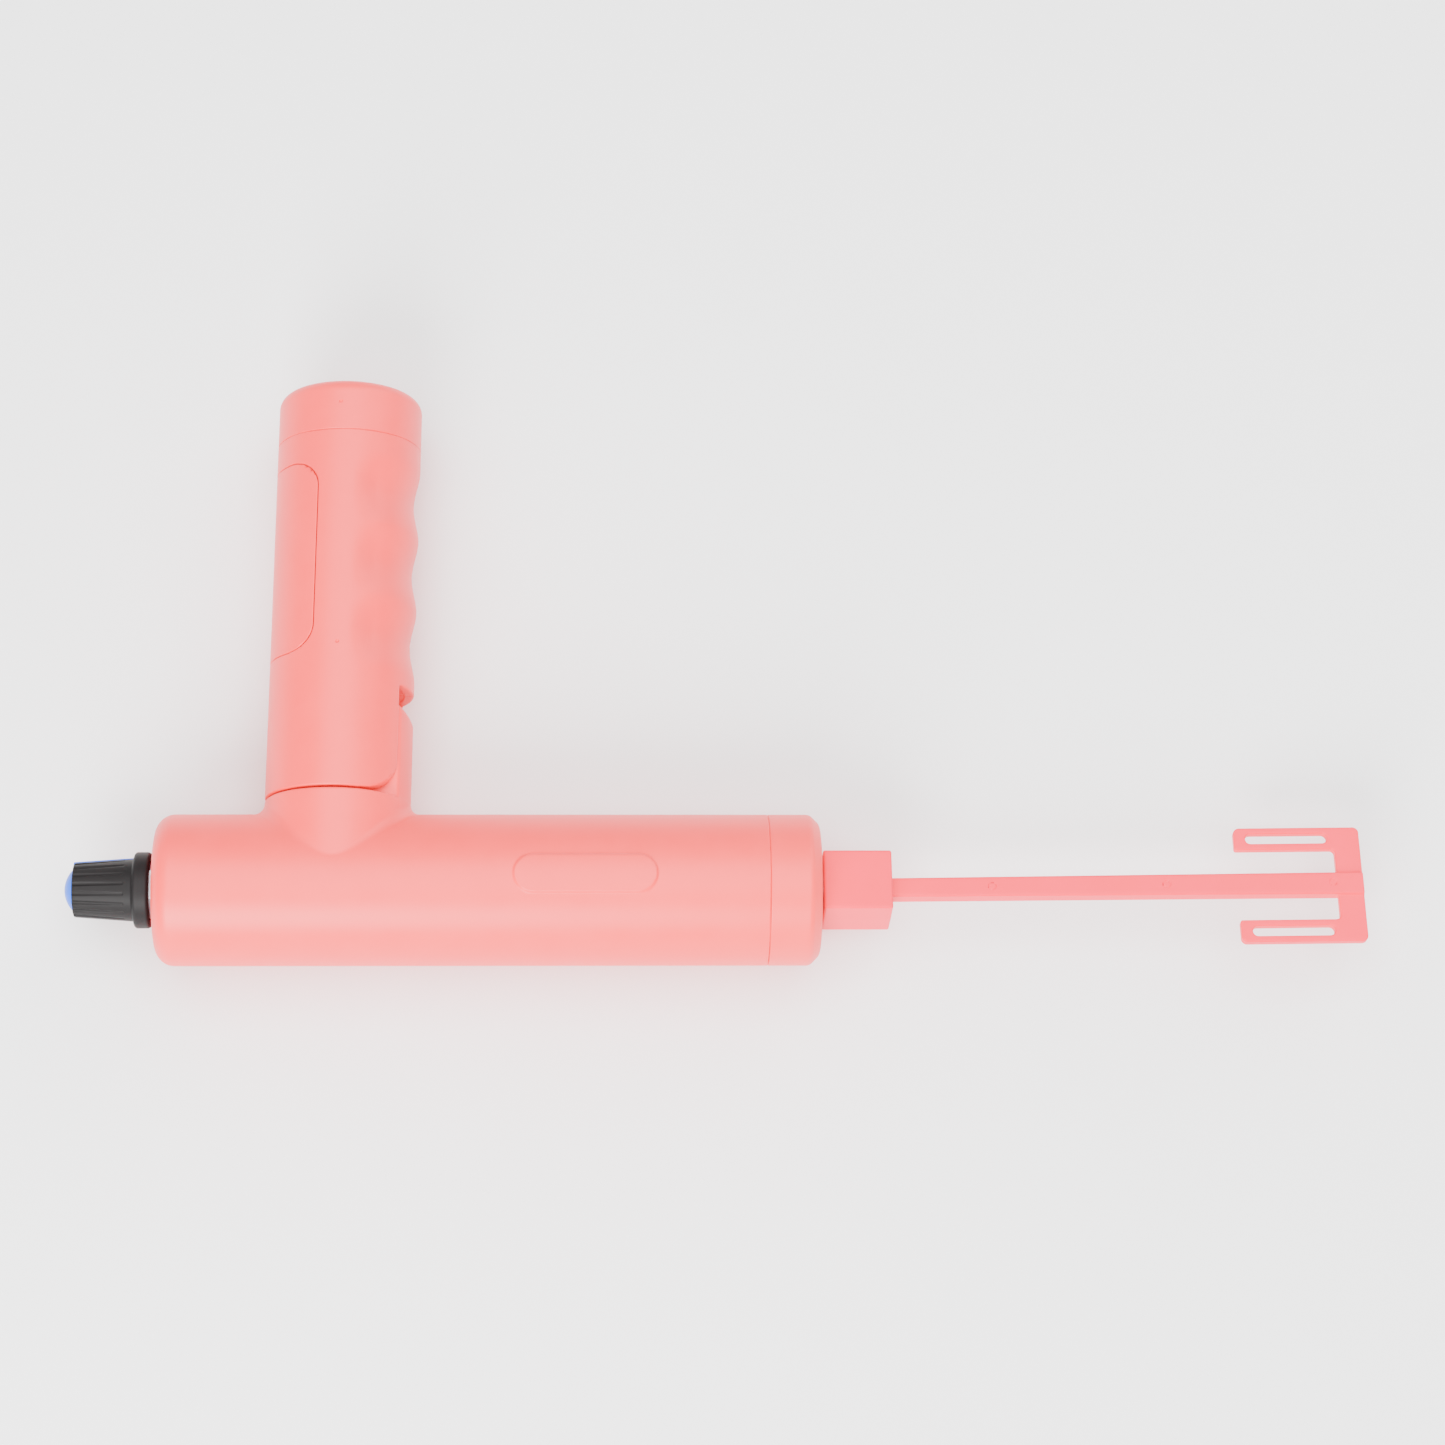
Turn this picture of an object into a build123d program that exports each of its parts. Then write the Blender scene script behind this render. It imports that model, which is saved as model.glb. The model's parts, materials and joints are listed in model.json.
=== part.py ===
from build123d import *
import os
from math import acos, cos, degrees, pi, radians, sin, sqrt, tan

# Powered seam ripper and thread winder with a folding pistol grip, lying on its side.
# Origin: on the spindle axis, at the middle of the nose collar.
# +X runs along the barrel towards the winding fork, +Y up the grip, +Z up from the table.
# All sizes are in millimetres.

# ---------------------------------------------------------------- driving sizes

# Clearances
slip = 0.05
running = 0.04
panel_gap = 0.12

# Barrel and nose cap
barrel_radius = 15.0
barrel_wall = 2.0
barrel_bore = barrel_radius - barrel_wall
grip_x = -90.0
rear_overhang = 35.2
rear_x = grip_x - rear_overhang
rear_round = 3.8
rear_wall = 2.2
collar_length = 8.0
cap_chamfer = 2.0
cap_edge_round = 0.6
seam_bevel = 0.25
seam_x = -collar_length / 2 - seam_bevel
nose_x = collar_length / 2 + cap_chamfer
cap_front_wall = 2.2
spigot_length = 6.0
spigot_wall = 1.0
cap_ring_wall = 1.6

# Raised label pad on the left side of the barrel
pad_length = 28.2
pad_width = 7.7
pad_height = 0.4
pad_round = 0.25
pad_x = grip_x + 49.5

# Folding grip
grip_rake = 0.9
grip_radius = 14.5
grip_wall = 2.2
neck_rise = 2.45
neck_roof = 2.0
neck_root_round = 2.0
neck_top = barrel_radius + neck_rise
neck_gap = 0.45
sleeve_bottom = neck_top + neck_gap
sleeve_length = 74.0
sleeve_top = sleeve_bottom + sleeve_length
end_cap_length = 10.9
end_cap_round = 2.5
end_cap_wall = 2.0
end_cap_spigot = 6.0

# Fold hinge: the pivot lies as far above the sleeve's bottom edge as behind its cheeks' front edge
cheek_half_gap = 8.0
cheek_front = sqrt(grip_radius**2 - cheek_half_gap**2)
cheek_swing = 7.0
pivot_side = cheek_front - cheek_swing
pivot_height = sleeve_bottom + cheek_swing
knuckle_round = 13.2
knuckle_back = 8.0
knuckle_side_gap = 0.25
knuckle_half = cheek_half_gap - knuckle_side_gap
window_headroom = 2.1
window_top = pivot_height + knuckle_round + window_headroom
bulkhead = 2.0
hinge_boss_radius = 6.5
hinge_pin_radius = 2.0
hinge_pin_chamfer = 0.3
hinge_bushing_wall = 1.0
hinge_blind_cover = 1.6
cut_margin = 1.0
washer_radius = 5.0
washer_thickness = 0.2

# Screws
screw_radius = 1.1
screw_head_radius = 2.0
screw_head_height = 1.5
screw_drive_flats = 1.5
screw_drive_share = 0.6
screw_boss_radius = 2.6
screw_bite = 6.0
screw_room = 0.15
rear_screw_x = rear_x + 6.2
rear_screw_y = 9.2
rear_screw_seat = 8.0
knuckle_screw_side = 0.6
knuckle_screw_height = neck_top + 2.6
grip_screw_side = -7.8
grip_screw_seat = 7.2
grip_screw_inset = 6.5

# Finger swells on the front of the grip
finger_count = 3
finger_pitch = 15.0
finger_depth = 1.0
finger_lowest = window_top + 10.1
finger_fade_offset = 1.04
finger_cut_margin = 2.0
finger_crest_gap = 0.1

# Palm panel let into the back of the grip
panel_bottom = window_top + 5.6
panel_top_margin = 6.4
panel_length = sleeve_top - panel_top_margin - panel_bottom
panel_half_width = 13.5
panel_thickness = 1.1
panel_corner = 5.5
panel_edge = 0.18

# Winding fork
fork_turn = 8.0
fork_lean = 0.65
block_side = 12.5
block_length = 13.6
block_gap = 0.6
block_draft = 0.8
block_edge = 0.35
stem_width_at_block = 4.0
stem_width_at_head = 4.7
stem_thickness_at_block = 3.5
stem_thickness_at_head = 3.0
fork_reach = 115.2
head_bar = 5.2
head_width = 24.4
plate_thickness = 1.8
prong_width = 4.7
prong_length = 25.4
slot_width = 2.1
slot_tip_wall = 2.35
slot_root_wall = 1.35
fork_corner = 1.2
fork_inner_corner = 0.9

# Drive hub and spindle
hub_flats = 7.0
hub_length = 12.0
hub_bore_depth = 9.0
hub_gap = 0.3
hub_chamfer = 0.4
spindle_radius = 2.0
bush_wall = 1.8
nose_bush_flange = 1.4
nose_bush_flange_radius = 5.6
clip_groove_depth = 0.4
clip_radius = 3.8
clip_thickness = 0.6
clip_mouth = 3.0

# Planetary gearbox
sun_teeth = 12
planet_teeth = 15
ring_teeth = sun_teeth + 2 * planet_teeth
planet_count = 3
ring_rim = 1.9
gearbox_radius = barrel_bore - slip
gear_module = 2 * (gearbox_radius - ring_rim) / ring_teeth
gear_width = 4.5
tooth_addendum = 0.75
tooth_dedendum = 1.05
tooth_backlash = 0.1
pressure_angle = 20.0
gear_side_gap = 0.4
carrier_thickness = 1.7
planet_pin_radius = 1.0
carrier_edge = 1.2
gearbox_cover = 2.0
gearbox_plate = 1.6
motor_screw_radius = 0.8
motor_screw_head_radius = 1.4
motor_screw_head_height = 0.9
motor_screw_orbit = 6.5
motor_screw_bite = 3.0
motor_screw_slot = 0.4

# Motor
motor_radius = barrel_bore - 0.85
motor_length = 30.8
motor_edge = 1.2
motor_end_length = 3.0
motor_shaft_radius = 1.0
motor_shaft_room = 1.0
motor_rib_width = 1.6
terminal_width = 2.4
terminal_height = 3.0
terminal_thickness = 0.5
terminal_offset = 7.0

# Cell, chassis, board and speed control
cell_radius = 9.15
cell_length = 49.8
cell_nose_radius = 3.0
cell_nose_height = 0.8
cell_round = 0.5
chassis_wall = 1.4
chassis_gap = 0.2
chassis_end_wall = 1.2
contact_thickness = 0.4
contact_side = 12.8
board_thickness = 1.6
board_width = 12.6
board_length = 20.4
board_drop = 6.3
board_inset = 1.0
chip_inset = 4.0
chip_round = 0.4
chips = ((3.2, 5.0, 5.0, 2.8), (-3.4, 4.4, 4.4, 1.0))
board_rail_width = 1.6
pot_width = 10.0
pot_height = 11.0
pot_depth = 8.0
pot_corner = 1.0
pot_thread_radius = 3.5
pot_thread_length = 7.2
pot_shaft_radius = pot_thread_radius - 0.5
pot_nut_flats = 10.0
pot_nut_thickness = 2.0
pot_washer_radius = 5.6
pot_washer_thickness = 0.5
port_width = 8.9
port_height = 3.2
port_length = 6.3
port_wall = 0.35
port_opening_margin = 0.2
port_tongue = 0.7
port_tongue_margin = 2.2
port_floor = 1.0
lead_radius = 0.6
lead_z = 8.0
lead_bend = 1.2
lead_clearance = 2.0

# Speed knob
knob_gap = 0.9
knob_skirt_radius = 7.55
knob_skirt_length = 3.3
knob_skirt_round = 0.7
knob_base_radius = 6.2
knob_tip_radius = 5.35
knob_length = 15.2
knob_flutes = 18
knob_flute_radius = 0.5
knob_flute_length = 10.2
knob_flute_tip_share = 0.45
knob_flute_root_share = 0.8
knob_tip_chamfer = 0.3
knob_thread_room = 0.4
knob_hollow_radius = 6.3
knob_hollow_depth = 2.9
knob_bore_depth = 11.0
knob_cap_radius = 4.3
knob_cap_depth = 1.0
knob_cap_dome = 1.9
pointer_width = 1.3
pointer_proud = 0.25
pointer_depth = 0.7


# ---------------------------------------------------------------- planes

rake = radians(grip_rake)
grip_up = Vector(sin(rake), cos(rake), 0)
grip_front = Vector(cos(rake), -sin(rake), 0)
grip_root = Vector(grip_x, 0, 0)

# Side profile of the grip: local x towards the fork, local y up the grip
grip_profile = Plane(origin=grip_root, x_dir=grip_front, z_dir=(0, 0, 1))

# Flat face of the winding fork: local x along the spindle, local y across the prongs
turn = radians(fork_turn)
fork_plane = Plane(origin=(0, 0, 0), x_dir=(1, 0, 0), z_dir=(0, sin(turn), cos(turn)))


def barrel_section(x):
    """Plane across the barrel at x, facing the fork."""
    return Plane.YZ.offset(x)


def grip_section(height):
    """Plane across the grip at a height above the barrel axis, local x towards the fork."""
    return Plane(origin=grip_root + grip_up * height, x_dir=grip_front, z_dir=grip_up)


def fork_section(x):
    """Plane across the fork's stem at x, local x across the prongs."""
    return Plane(origin=(x, 0, 0), x_dir=fork_plane.y_dir, z_dir=(1, 0, 0))


os.makedirs("parts", exist_ok=True)


def save(piece, name):
    """Labels a finished piece and writes its STEP file."""
    piece.part.label = name
    export_step(piece.part, f"parts/{name}.step")


# ---------------------------------------------------------------- barrel shells

with BuildPart() as knuckle:
    with BuildSketch(grip_profile):
        with Locations((pivot_side, pivot_height)):
            Circle(knuckle_round)
        with Locations((pivot_side - knuckle_back, neck_top - neck_roof)):
            Rectangle(3 * grip_radius, 3 * grip_radius, align=(Align.MIN, Align.MIN), mode=Mode.INTERSECT)
    extrude(amount=knuckle_half, both=True)
    with BuildSketch(grip_profile):
        with Locations((pivot_side - knuckle_back, neck_top - neck_roof)):
            Rectangle(
                grip_radius + knuckle_back, pivot_height - neck_top + neck_roof, align=(Align.MIN, Align.MIN)
            )
    extrude(amount=knuckle_half, both=True)
    with BuildSketch(grip_section(0)):
        Circle(grip_radius)
    extrude(amount=window_top, mode=Mode.INTERSECT)

with BuildPart() as label_pad:
    with BuildSketch(Plane.XY.offset(barrel_bore)):
        with Locations((pad_x, 0)):
            SlotOverall(pad_length, pad_width)
    extrude(amount=barrel_radius)
    with BuildSketch(barrel_section(rear_x)):
        Circle(barrel_radius + pad_height)
    extrude(amount=seam_x - rear_x, mode=Mode.INTERSECT)
    fillet(label_pad.faces().sort_by(Axis.Z)[-1].edges(), pad_round)

gearbox_front_x = seam_x + spigot_length - 1.2
cover_back_x = gearbox_front_x - gearbox_cover
ring_length = gear_width + 3 * gear_side_gap + carrier_thickness
ring_back_x = cover_back_x - ring_length
plate_back_x = ring_back_x - gearbox_plate
motor_front_x = plate_back_x
motor_back_x = motor_front_x - motor_length
port_x = rear_x + rear_wall + pot_depth + 1.0 + port_height

with BuildPart() as barrel:
    with BuildSketch(barrel_section(rear_x)):
        Circle(barrel_radius)
    extrude(amount=seam_x - rear_x)
    fillet(barrel.faces().sort_by(Axis.X)[0].edges(), rear_round)
    chamfer(barrel.faces().sort_by(Axis.X)[-1].edges(), seam_bevel)
    with BuildSketch(grip_section(0)):
        Circle(grip_radius)
    extrude(amount=neck_top)
    saddle = barrel.edges(Select.LAST).filter_by(lambda edge: edge.center().Y < neck_top - 0.1)
    fillet(saddle.filter_by(GeomType.BSPLINE), neck_root_round)
    add(label_pad.part)
    # Spigot for the nose cap
    with BuildSketch(barrel_section(seam_x - seam_bevel)):
        Circle(barrel_bore + spigot_wall)
    extrude(amount=spigot_length + seam_bevel)
    with BuildSketch(barrel_section(rear_x + rear_wall)):
        Circle(barrel_bore)
    extrude(amount=seam_x + spigot_length - rear_x, mode=Mode.SUBTRACT)
    with BuildSketch(grip_section(0)):
        Circle(grip_radius - grip_wall)
    extrude(amount=neck_top - neck_roof, mode=Mode.SUBTRACT)
    add(knuckle.part)
    # Ribs that cradle the motor
    for rib_x in (motor_front_x - 2 * motor_rib_width, motor_back_x + motor_rib_width):
        with BuildSketch(barrel_section(rib_x)):
            Circle(barrel_bore + slip)
            Circle(motor_radius + slip, mode=Mode.SUBTRACT)
        extrude(amount=motor_rib_width)
    # Screw bosses beside the speed control
    with BuildSketch(Plane.XY):
        with Locations((rear_screw_x, rear_screw_y), (rear_screw_x, -rear_screw_y)):
            Circle(screw_boss_radius)
    extrude(amount=sqrt((barrel_bore + slip) ** 2 - (rear_screw_y + screw_boss_radius) ** 2), both=True)
    # Bores of the hinge, the screws, the speed control and the charging socket
    with BuildSketch(grip_profile):
        with Locations((pivot_side, pivot_height)):
            Circle(hinge_pin_radius + running + hinge_bushing_wall)
    extrude(amount=knuckle_half, both=True, mode=Mode.SUBTRACT)
    with BuildSketch(Plane.XY.offset(screw_bite)):
        with Locations((rear_screw_x, rear_screw_y), (rear_screw_x, -rear_screw_y)):
            Circle(screw_radius)
    extrude(amount=-screw_bite - rear_screw_seat, mode=Mode.SUBTRACT)
    with BuildSketch(Plane.XY.offset(-rear_screw_seat)):
        with Locations((rear_screw_x, rear_screw_y), (rear_screw_x, -rear_screw_y)):
            Circle(screw_head_radius + screw_room)
    extrude(amount=-barrel_radius, mode=Mode.SUBTRACT)
    with BuildSketch(grip_profile.offset(screw_bite)):
        with Locations((knuckle_screw_side, knuckle_screw_height)):
            Circle(screw_radius)
    extrude(amount=-screw_bite - knuckle_half, mode=Mode.SUBTRACT)
    with BuildSketch(grip_profile.offset(-knuckle_half + screw_head_height)):
        with Locations((knuckle_screw_side, knuckle_screw_height)):
            Circle(screw_head_radius + screw_room)
    extrude(amount=-screw_head_height, mode=Mode.SUBTRACT)
    with BuildSketch(barrel_section(rear_x)):
        Circle(pot_thread_radius + slip)
    extrude(amount=rear_wall, mode=Mode.SUBTRACT)
    with BuildSketch(Plane.XY.offset(-barrel_radius)):
        with Locations((port_x, 0)):
            SlotOverall(
                port_width + 2 * port_opening_margin, port_height + 2 * port_opening_margin, rotation=90
            )
    extrude(amount=barrel_wall * 2, mode=Mode.SUBTRACT)

with BuildPart() as left_barrel_shell:
    add(barrel.part)
    split(bisect_by=Plane.XY, keep=Keep.TOP)
save(left_barrel_shell, "left_barrel_shell")

with BuildPart() as right_barrel_shell:
    add(barrel.part)
    split(bisect_by=Plane.XY, keep=Keep.BOTTOM)
save(right_barrel_shell, "right_barrel_shell")


def cap_screw(seat, shank_length):
    """Socket cap screw whose head stands on the seat plane and whose shank goes down from it."""
    with BuildPart() as screw:
        with BuildSketch(seat):
            Circle(screw_head_radius)
        extrude(amount=screw_head_height)
        fillet(screw.faces().sort_by(Axis(seat.origin, seat.z_dir))[-1].edges(), 0.3)
        with BuildSketch(seat):
            Circle(screw_radius)
        extrude(amount=-shank_length)
        with BuildSketch(seat.offset(screw_head_height)):
            RegularPolygon(screw_drive_flats / 2, 6, major_radius=False)
        extrude(amount=-screw_drive_share * screw_head_height, mode=Mode.SUBTRACT)
    return screw.part


with BuildPart() as barrel_screws:
    for side_y in (rear_screw_y, -rear_screw_y):
        seat = Plane(origin=(rear_screw_x, side_y, -rear_screw_seat), z_dir=(0, 0, -1))
        add(cap_screw(seat, rear_screw_seat + screw_bite - screw_room))
    knuckle_seat = Plane(
        origin=grip_profile.offset(-knuckle_half + screw_head_height).from_local_coords(
            Vector(knuckle_screw_side, knuckle_screw_height, 0)
        ),
        z_dir=(0, 0, -1),
    )
    add(cap_screw(knuckle_seat, knuckle_half - screw_head_height + screw_bite - screw_room))
save(barrel_screws, "barrel_screws")

# ---------------------------------------------------------------- nose cap and its bush

nose_bush_radius = spindle_radius + running + bush_wall

with BuildPart() as nose_cap:
    with BuildSketch(barrel_section(seam_x)):
        Circle(barrel_radius)
    extrude(amount=nose_x - seam_x)
    chamfer(nose_cap.faces().sort_by(Axis.X)[-1].edges(), cap_chamfer)
    fillet(nose_cap.faces().sort_by(Axis.X)[-1].edges(), cap_edge_round)
    chamfer(nose_cap.faces().sort_by(Axis.X)[0].edges(), seam_bevel)
    with BuildSketch(barrel_section(nose_x - cap_front_wall)):
        Circle(barrel_bore + spigot_wall + slip)
    extrude(amount=seam_x - nose_x, mode=Mode.SUBTRACT)
    # Ring that holds the gearbox back
    with BuildSketch(barrel_section(nose_x - cap_front_wall)):
        Circle(barrel_bore - slip)
        Circle(barrel_bore - slip - cap_ring_wall, mode=Mode.SUBTRACT)
    extrude(amount=gearbox_front_x - nose_x + cap_front_wall)
    with BuildSketch(barrel_section(nose_x - cap_front_wall)):
        Circle(nose_bush_radius)
    extrude(amount=cap_front_wall, mode=Mode.SUBTRACT)
save(nose_cap, "nose_cap")

with BuildPart() as nose_bushing:
    with BuildSketch(barrel_section(nose_x - cap_front_wall)):
        Circle(nose_bush_radius)
    extrude(amount=cap_front_wall)
    with BuildSketch(barrel_section(nose_x - cap_front_wall)):
        Circle(nose_bush_flange_radius)
    extrude(amount=-nose_bush_flange)
    with BuildSketch(barrel_section(nose_x)):
        Circle(spindle_radius + running)
    extrude(amount=-cap_front_wall - nose_bush_flange, mode=Mode.SUBTRACT)
save(nose_bushing, "nose_bushing")

# ---------------------------------------------------------------- planetary gearbox

gear_back_x = ring_back_x + gear_side_gap
carrier_back_x = gear_back_x + gear_width + gear_side_gap
planet_orbit = gear_module * (sun_teeth + planet_teeth) / 2


def involute_point(base_radius, radius, start_angle):
    """Point of the involute of base_radius at radius, turned by start_angle (radians)."""
    roll = sqrt(max(0.0, (radius / base_radius) ** 2 - 1))
    angle = start_angle + roll - acos(base_radius / radius)
    return radius * cos(angle), radius * sin(angle)


def toothed_disc(teeth, module, addendum, dedendum, thinning):
    """Sketch of an involute gear with one tooth on local +x. Negative thinning widens the teeth."""
    pitch_radius = teeth * module / 2
    base_radius = pitch_radius * cos(radians(pressure_angle))
    tip_radius = pitch_radius + addendum * module
    root_radius = pitch_radius - dedendum * module
    half_tooth = pi / (2 * teeth) - thinning / (2 * pitch_radius)
    involute_at_pitch = tan(radians(pressure_angle)) - radians(pressure_angle)
    flank_start = half_tooth + involute_at_pitch
    start_radius = max(base_radius, root_radius)
    steps = [start_radius + (tip_radius - start_radius) * k / 3 for k in range(4)]
    upper = []
    for radius in steps:
        x, y = involute_point(base_radius, radius, 0)
        bearing = -degrees(flank_start)
        spun = Vector(x, y).rotate(Axis.Z, bearing)
        upper.append((spun.X, -spun.Y))
    lower = [(x, -y) for x, y in upper]
    inner = root_radius * 0.9
    foot_x = inner * cos(flank_start)
    foot_y = inner * sin(flank_start)
    with BuildSketch() as tooth:
        with BuildLine():
            Line((foot_x, -foot_y), lower[0])
            Spline(*lower)
            ThreePointArc(lower[-1], (tip_radius, 0), upper[-1])
            Spline(*reversed(upper))
            Polyline(upper[0], (foot_x, foot_y), (foot_x, -foot_y))
        make_face()
    with BuildSketch() as disc:
        Circle(root_radius)
        with PolarLocations(0, teeth):
            add(tooth.sketch)
    return disc.sketch


with BuildPart() as ring_gear:
    with BuildSketch(barrel_section(ring_back_x)):
        Circle(gearbox_radius)
        add(
            toothed_disc(ring_teeth, gear_module, tooth_dedendum, tooth_addendum, -tooth_backlash / 2),
            mode=Mode.SUBTRACT,
        )
    extrude(amount=ring_length)
    with BuildSketch(barrel_section(carrier_back_x - gear_side_gap / 2)):
        Circle(gearbox_radius - ring_rim + gear_module * tooth_dedendum)
    extrude(amount=ring_length, mode=Mode.SUBTRACT)
save(ring_gear, "ring_gear")

screw_spots = ((motor_screw_orbit, 0), (-motor_screw_orbit, 0))

with BuildPart() as gearbox_plate_part:
    with BuildSketch(barrel_section(plate_back_x)):
        Circle(gearbox_radius)
        Circle(motor_shaft_radius + motor_shaft_room, mode=Mode.SUBTRACT)
        with Locations(*screw_spots):
            Circle(motor_screw_radius, mode=Mode.SUBTRACT)
    extrude(amount=gearbox_plate)
    with BuildSketch(barrel_section(ring_back_x)):
        with Locations(*screw_spots):
            Circle(motor_screw_head_radius + slip)
    extrude(amount=-motor_screw_head_height - slip, mode=Mode.SUBTRACT)
save(gearbox_plate_part, "gearbox_plate")

with BuildPart() as motor_screws:
    with BuildSketch(barrel_section(ring_back_x - slip)):
        with Locations(*screw_spots):
            Circle(motor_screw_head_radius)
    extrude(amount=-motor_screw_head_height)
    with BuildSketch(barrel_section(ring_back_x - slip - motor_screw_head_height)):
        with Locations(*screw_spots):
            Circle(motor_screw_radius)
    extrude(amount=-motor_screw_bite)
    with BuildSketch(barrel_section(ring_back_x - slip)):
        with Locations(*screw_spots):
            Rectangle(2 * motor_screw_head_radius, motor_screw_slot)
            Rectangle(motor_screw_slot, 2 * motor_screw_head_radius)
    extrude(amount=-motor_screw_slot, mode=Mode.SUBTRACT)
save(motor_screws, "motor_screws")

with BuildPart() as sun_gear:
    with BuildSketch(barrel_section(gear_back_x)):
        add(toothed_disc(sun_teeth, gear_module, tooth_addendum, tooth_dedendum, tooth_backlash / 2))
        Circle(motor_shaft_radius, mode=Mode.SUBTRACT)
    extrude(amount=gear_width)
save(sun_gear, "sun_gear")

planet_disc = toothed_disc(planet_teeth, gear_module, tooth_addendum, tooth_dedendum, tooth_backlash / 2)
for number in range(planet_count):
    with BuildPart() as planet_gear:
        with BuildSketch(barrel_section(gear_back_x)):
            with PolarLocations(planet_orbit, 1, number * 360 / planet_count):
                add(planet_disc)
                Circle(planet_pin_radius + running, mode=Mode.SUBTRACT)
        extrude(amount=gear_width)
    save(planet_gear, f"planet_gear_{number + 1}")

spindle_end_x = nose_x + hub_gap + hub_bore_depth

with BuildPart() as planet_carrier:
    with BuildSketch(barrel_section(carrier_back_x)):
        Circle(planet_orbit + planet_pin_radius + carrier_edge)
        with PolarLocations(planet_orbit, planet_count):
            Circle(planet_pin_radius, mode=Mode.SUBTRACT)
    extrude(amount=carrier_thickness)
    with BuildSketch(barrel_section(carrier_back_x + carrier_thickness)):
        Circle(spindle_radius)
    extrude(amount=spindle_end_x - carrier_back_x - carrier_thickness)
    with BuildSketch(barrel_section(gearbox_front_x + slip)):
        Circle(spindle_radius + slip)
        Circle(spindle_radius - clip_groove_depth, mode=Mode.SUBTRACT)
    extrude(amount=clip_thickness + slip, mode=Mode.SUBTRACT)
save(planet_carrier, "planet_carrier")

with BuildPart() as planet_pins:
    with BuildSketch(barrel_section(gear_back_x)):
        with PolarLocations(planet_orbit, planet_count):
            Circle(planet_pin_radius)
    extrude(amount=gear_width + gear_side_gap + carrier_thickness)
save(planet_pins, "planet_pins")

cover_bush_radius = spindle_radius + running + bush_wall

with BuildPart() as gearbox_front_cover:
    with BuildSketch(barrel_section(cover_back_x)):
        Circle(gearbox_radius)
        Circle(cover_bush_radius, mode=Mode.SUBTRACT)
    extrude(amount=gearbox_cover)
save(gearbox_front_cover, "gearbox_front_cover")

with BuildPart() as gearbox_bushing:
    with BuildSketch(barrel_section(cover_back_x)):
        Circle(cover_bush_radius)
        Circle(spindle_radius + running, mode=Mode.SUBTRACT)
    extrude(amount=gearbox_cover)
save(gearbox_bushing, "gearbox_bushing")

with BuildPart() as retaining_clip:
    with BuildSketch(barrel_section(gearbox_front_x + slip * 2)):
        Circle(clip_radius)
        Circle(spindle_radius - clip_groove_depth + slip, mode=Mode.SUBTRACT)
        with Locations((clip_radius, 0)):
            Rectangle(2 * clip_radius, clip_mouth, mode=Mode.SUBTRACT)
    extrude(amount=clip_thickness - slip * 2)
save(retaining_clip, "retaining_clip")

# ---------------------------------------------------------------- motor

with BuildPart() as motor_can:
    with BuildSketch(barrel_section(motor_back_x)):
        Circle(motor_radius)
    extrude(amount=motor_length)
    fillet(motor_can.faces().sort_by(Axis.X)[-1].edges(), motor_edge)
    with BuildSketch(barrel_section(motor_back_x)):
        Circle(motor_shaft_radius + running)
    extrude(amount=motor_length, mode=Mode.SUBTRACT)
    with BuildSketch(barrel_section(motor_front_x)):
        with Locations(*screw_spots):
            Circle(motor_screw_radius)
    extrude(amount=-motor_screw_bite, mode=Mode.SUBTRACT)
save(motor_can, "motor_can")

with BuildPart() as motor_end_bell:
    with BuildSketch(barrel_section(motor_back_x)):
        Circle(motor_radius - 0.3)
    extrude(amount=-motor_end_length)
    with BuildSketch(barrel_section(motor_back_x)):
        Circle(motor_shaft_radius + running)
    extrude(amount=-motor_end_length / 2, mode=Mode.SUBTRACT)
    fillet(motor_end_bell.faces().sort_by(Axis.X)[0].edges(), 0.5)
save(motor_end_bell, "motor_end_bell")

with BuildPart() as motor_terminals:
    with BuildSketch(barrel_section(motor_back_x - motor_end_length)):
        with Locations((-terminal_offset, 0), (terminal_offset, 0)):
            Rectangle(terminal_thickness, terminal_width)
    extrude(amount=-terminal_height / 2)
save(motor_terminals, "motor_terminals")

with BuildPart() as motor_shaft:
    with BuildSketch(barrel_section(motor_back_x - motor_end_length / 2 + slip)):
        Circle(motor_shaft_radius)
    extrude(amount=gear_back_x + gear_width - motor_back_x + motor_end_length / 2 - slip)
save(motor_shaft, "motor_shaft")

# ---------------------------------------------------------------- drive hub and winding fork

hub_x = nose_x + hub_gap

with BuildPart() as drive_hub:
    with BuildSketch(barrel_section(hub_x)):
        RegularPolygon(hub_flats / 2, 6, major_radius=False, rotation=-fork_turn)
    extrude(amount=hub_length)
    with BuildSketch(barrel_section(hub_x)):
        Circle(spindle_radius)
    extrude(amount=hub_bore_depth, mode=Mode.SUBTRACT)
    chamfer(drive_hub.faces().sort_by(Axis.X)[-1].edges(), hub_chamfer)
save(drive_hub, "drive_hub")

block_x = nose_x + block_gap
block_end_x = block_x + block_length
head_back_x = fork_reach - head_bar
prong_tip_x = fork_reach - prong_length
draft_loss = block_side / 2 * tan(radians(block_draft))
slot_length = prong_length - head_bar - slot_tip_wall - slot_root_wall
slot_x = prong_tip_x + slot_tip_wall + slot_length / 2
slot_y = (head_width - prong_width) / 2

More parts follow.
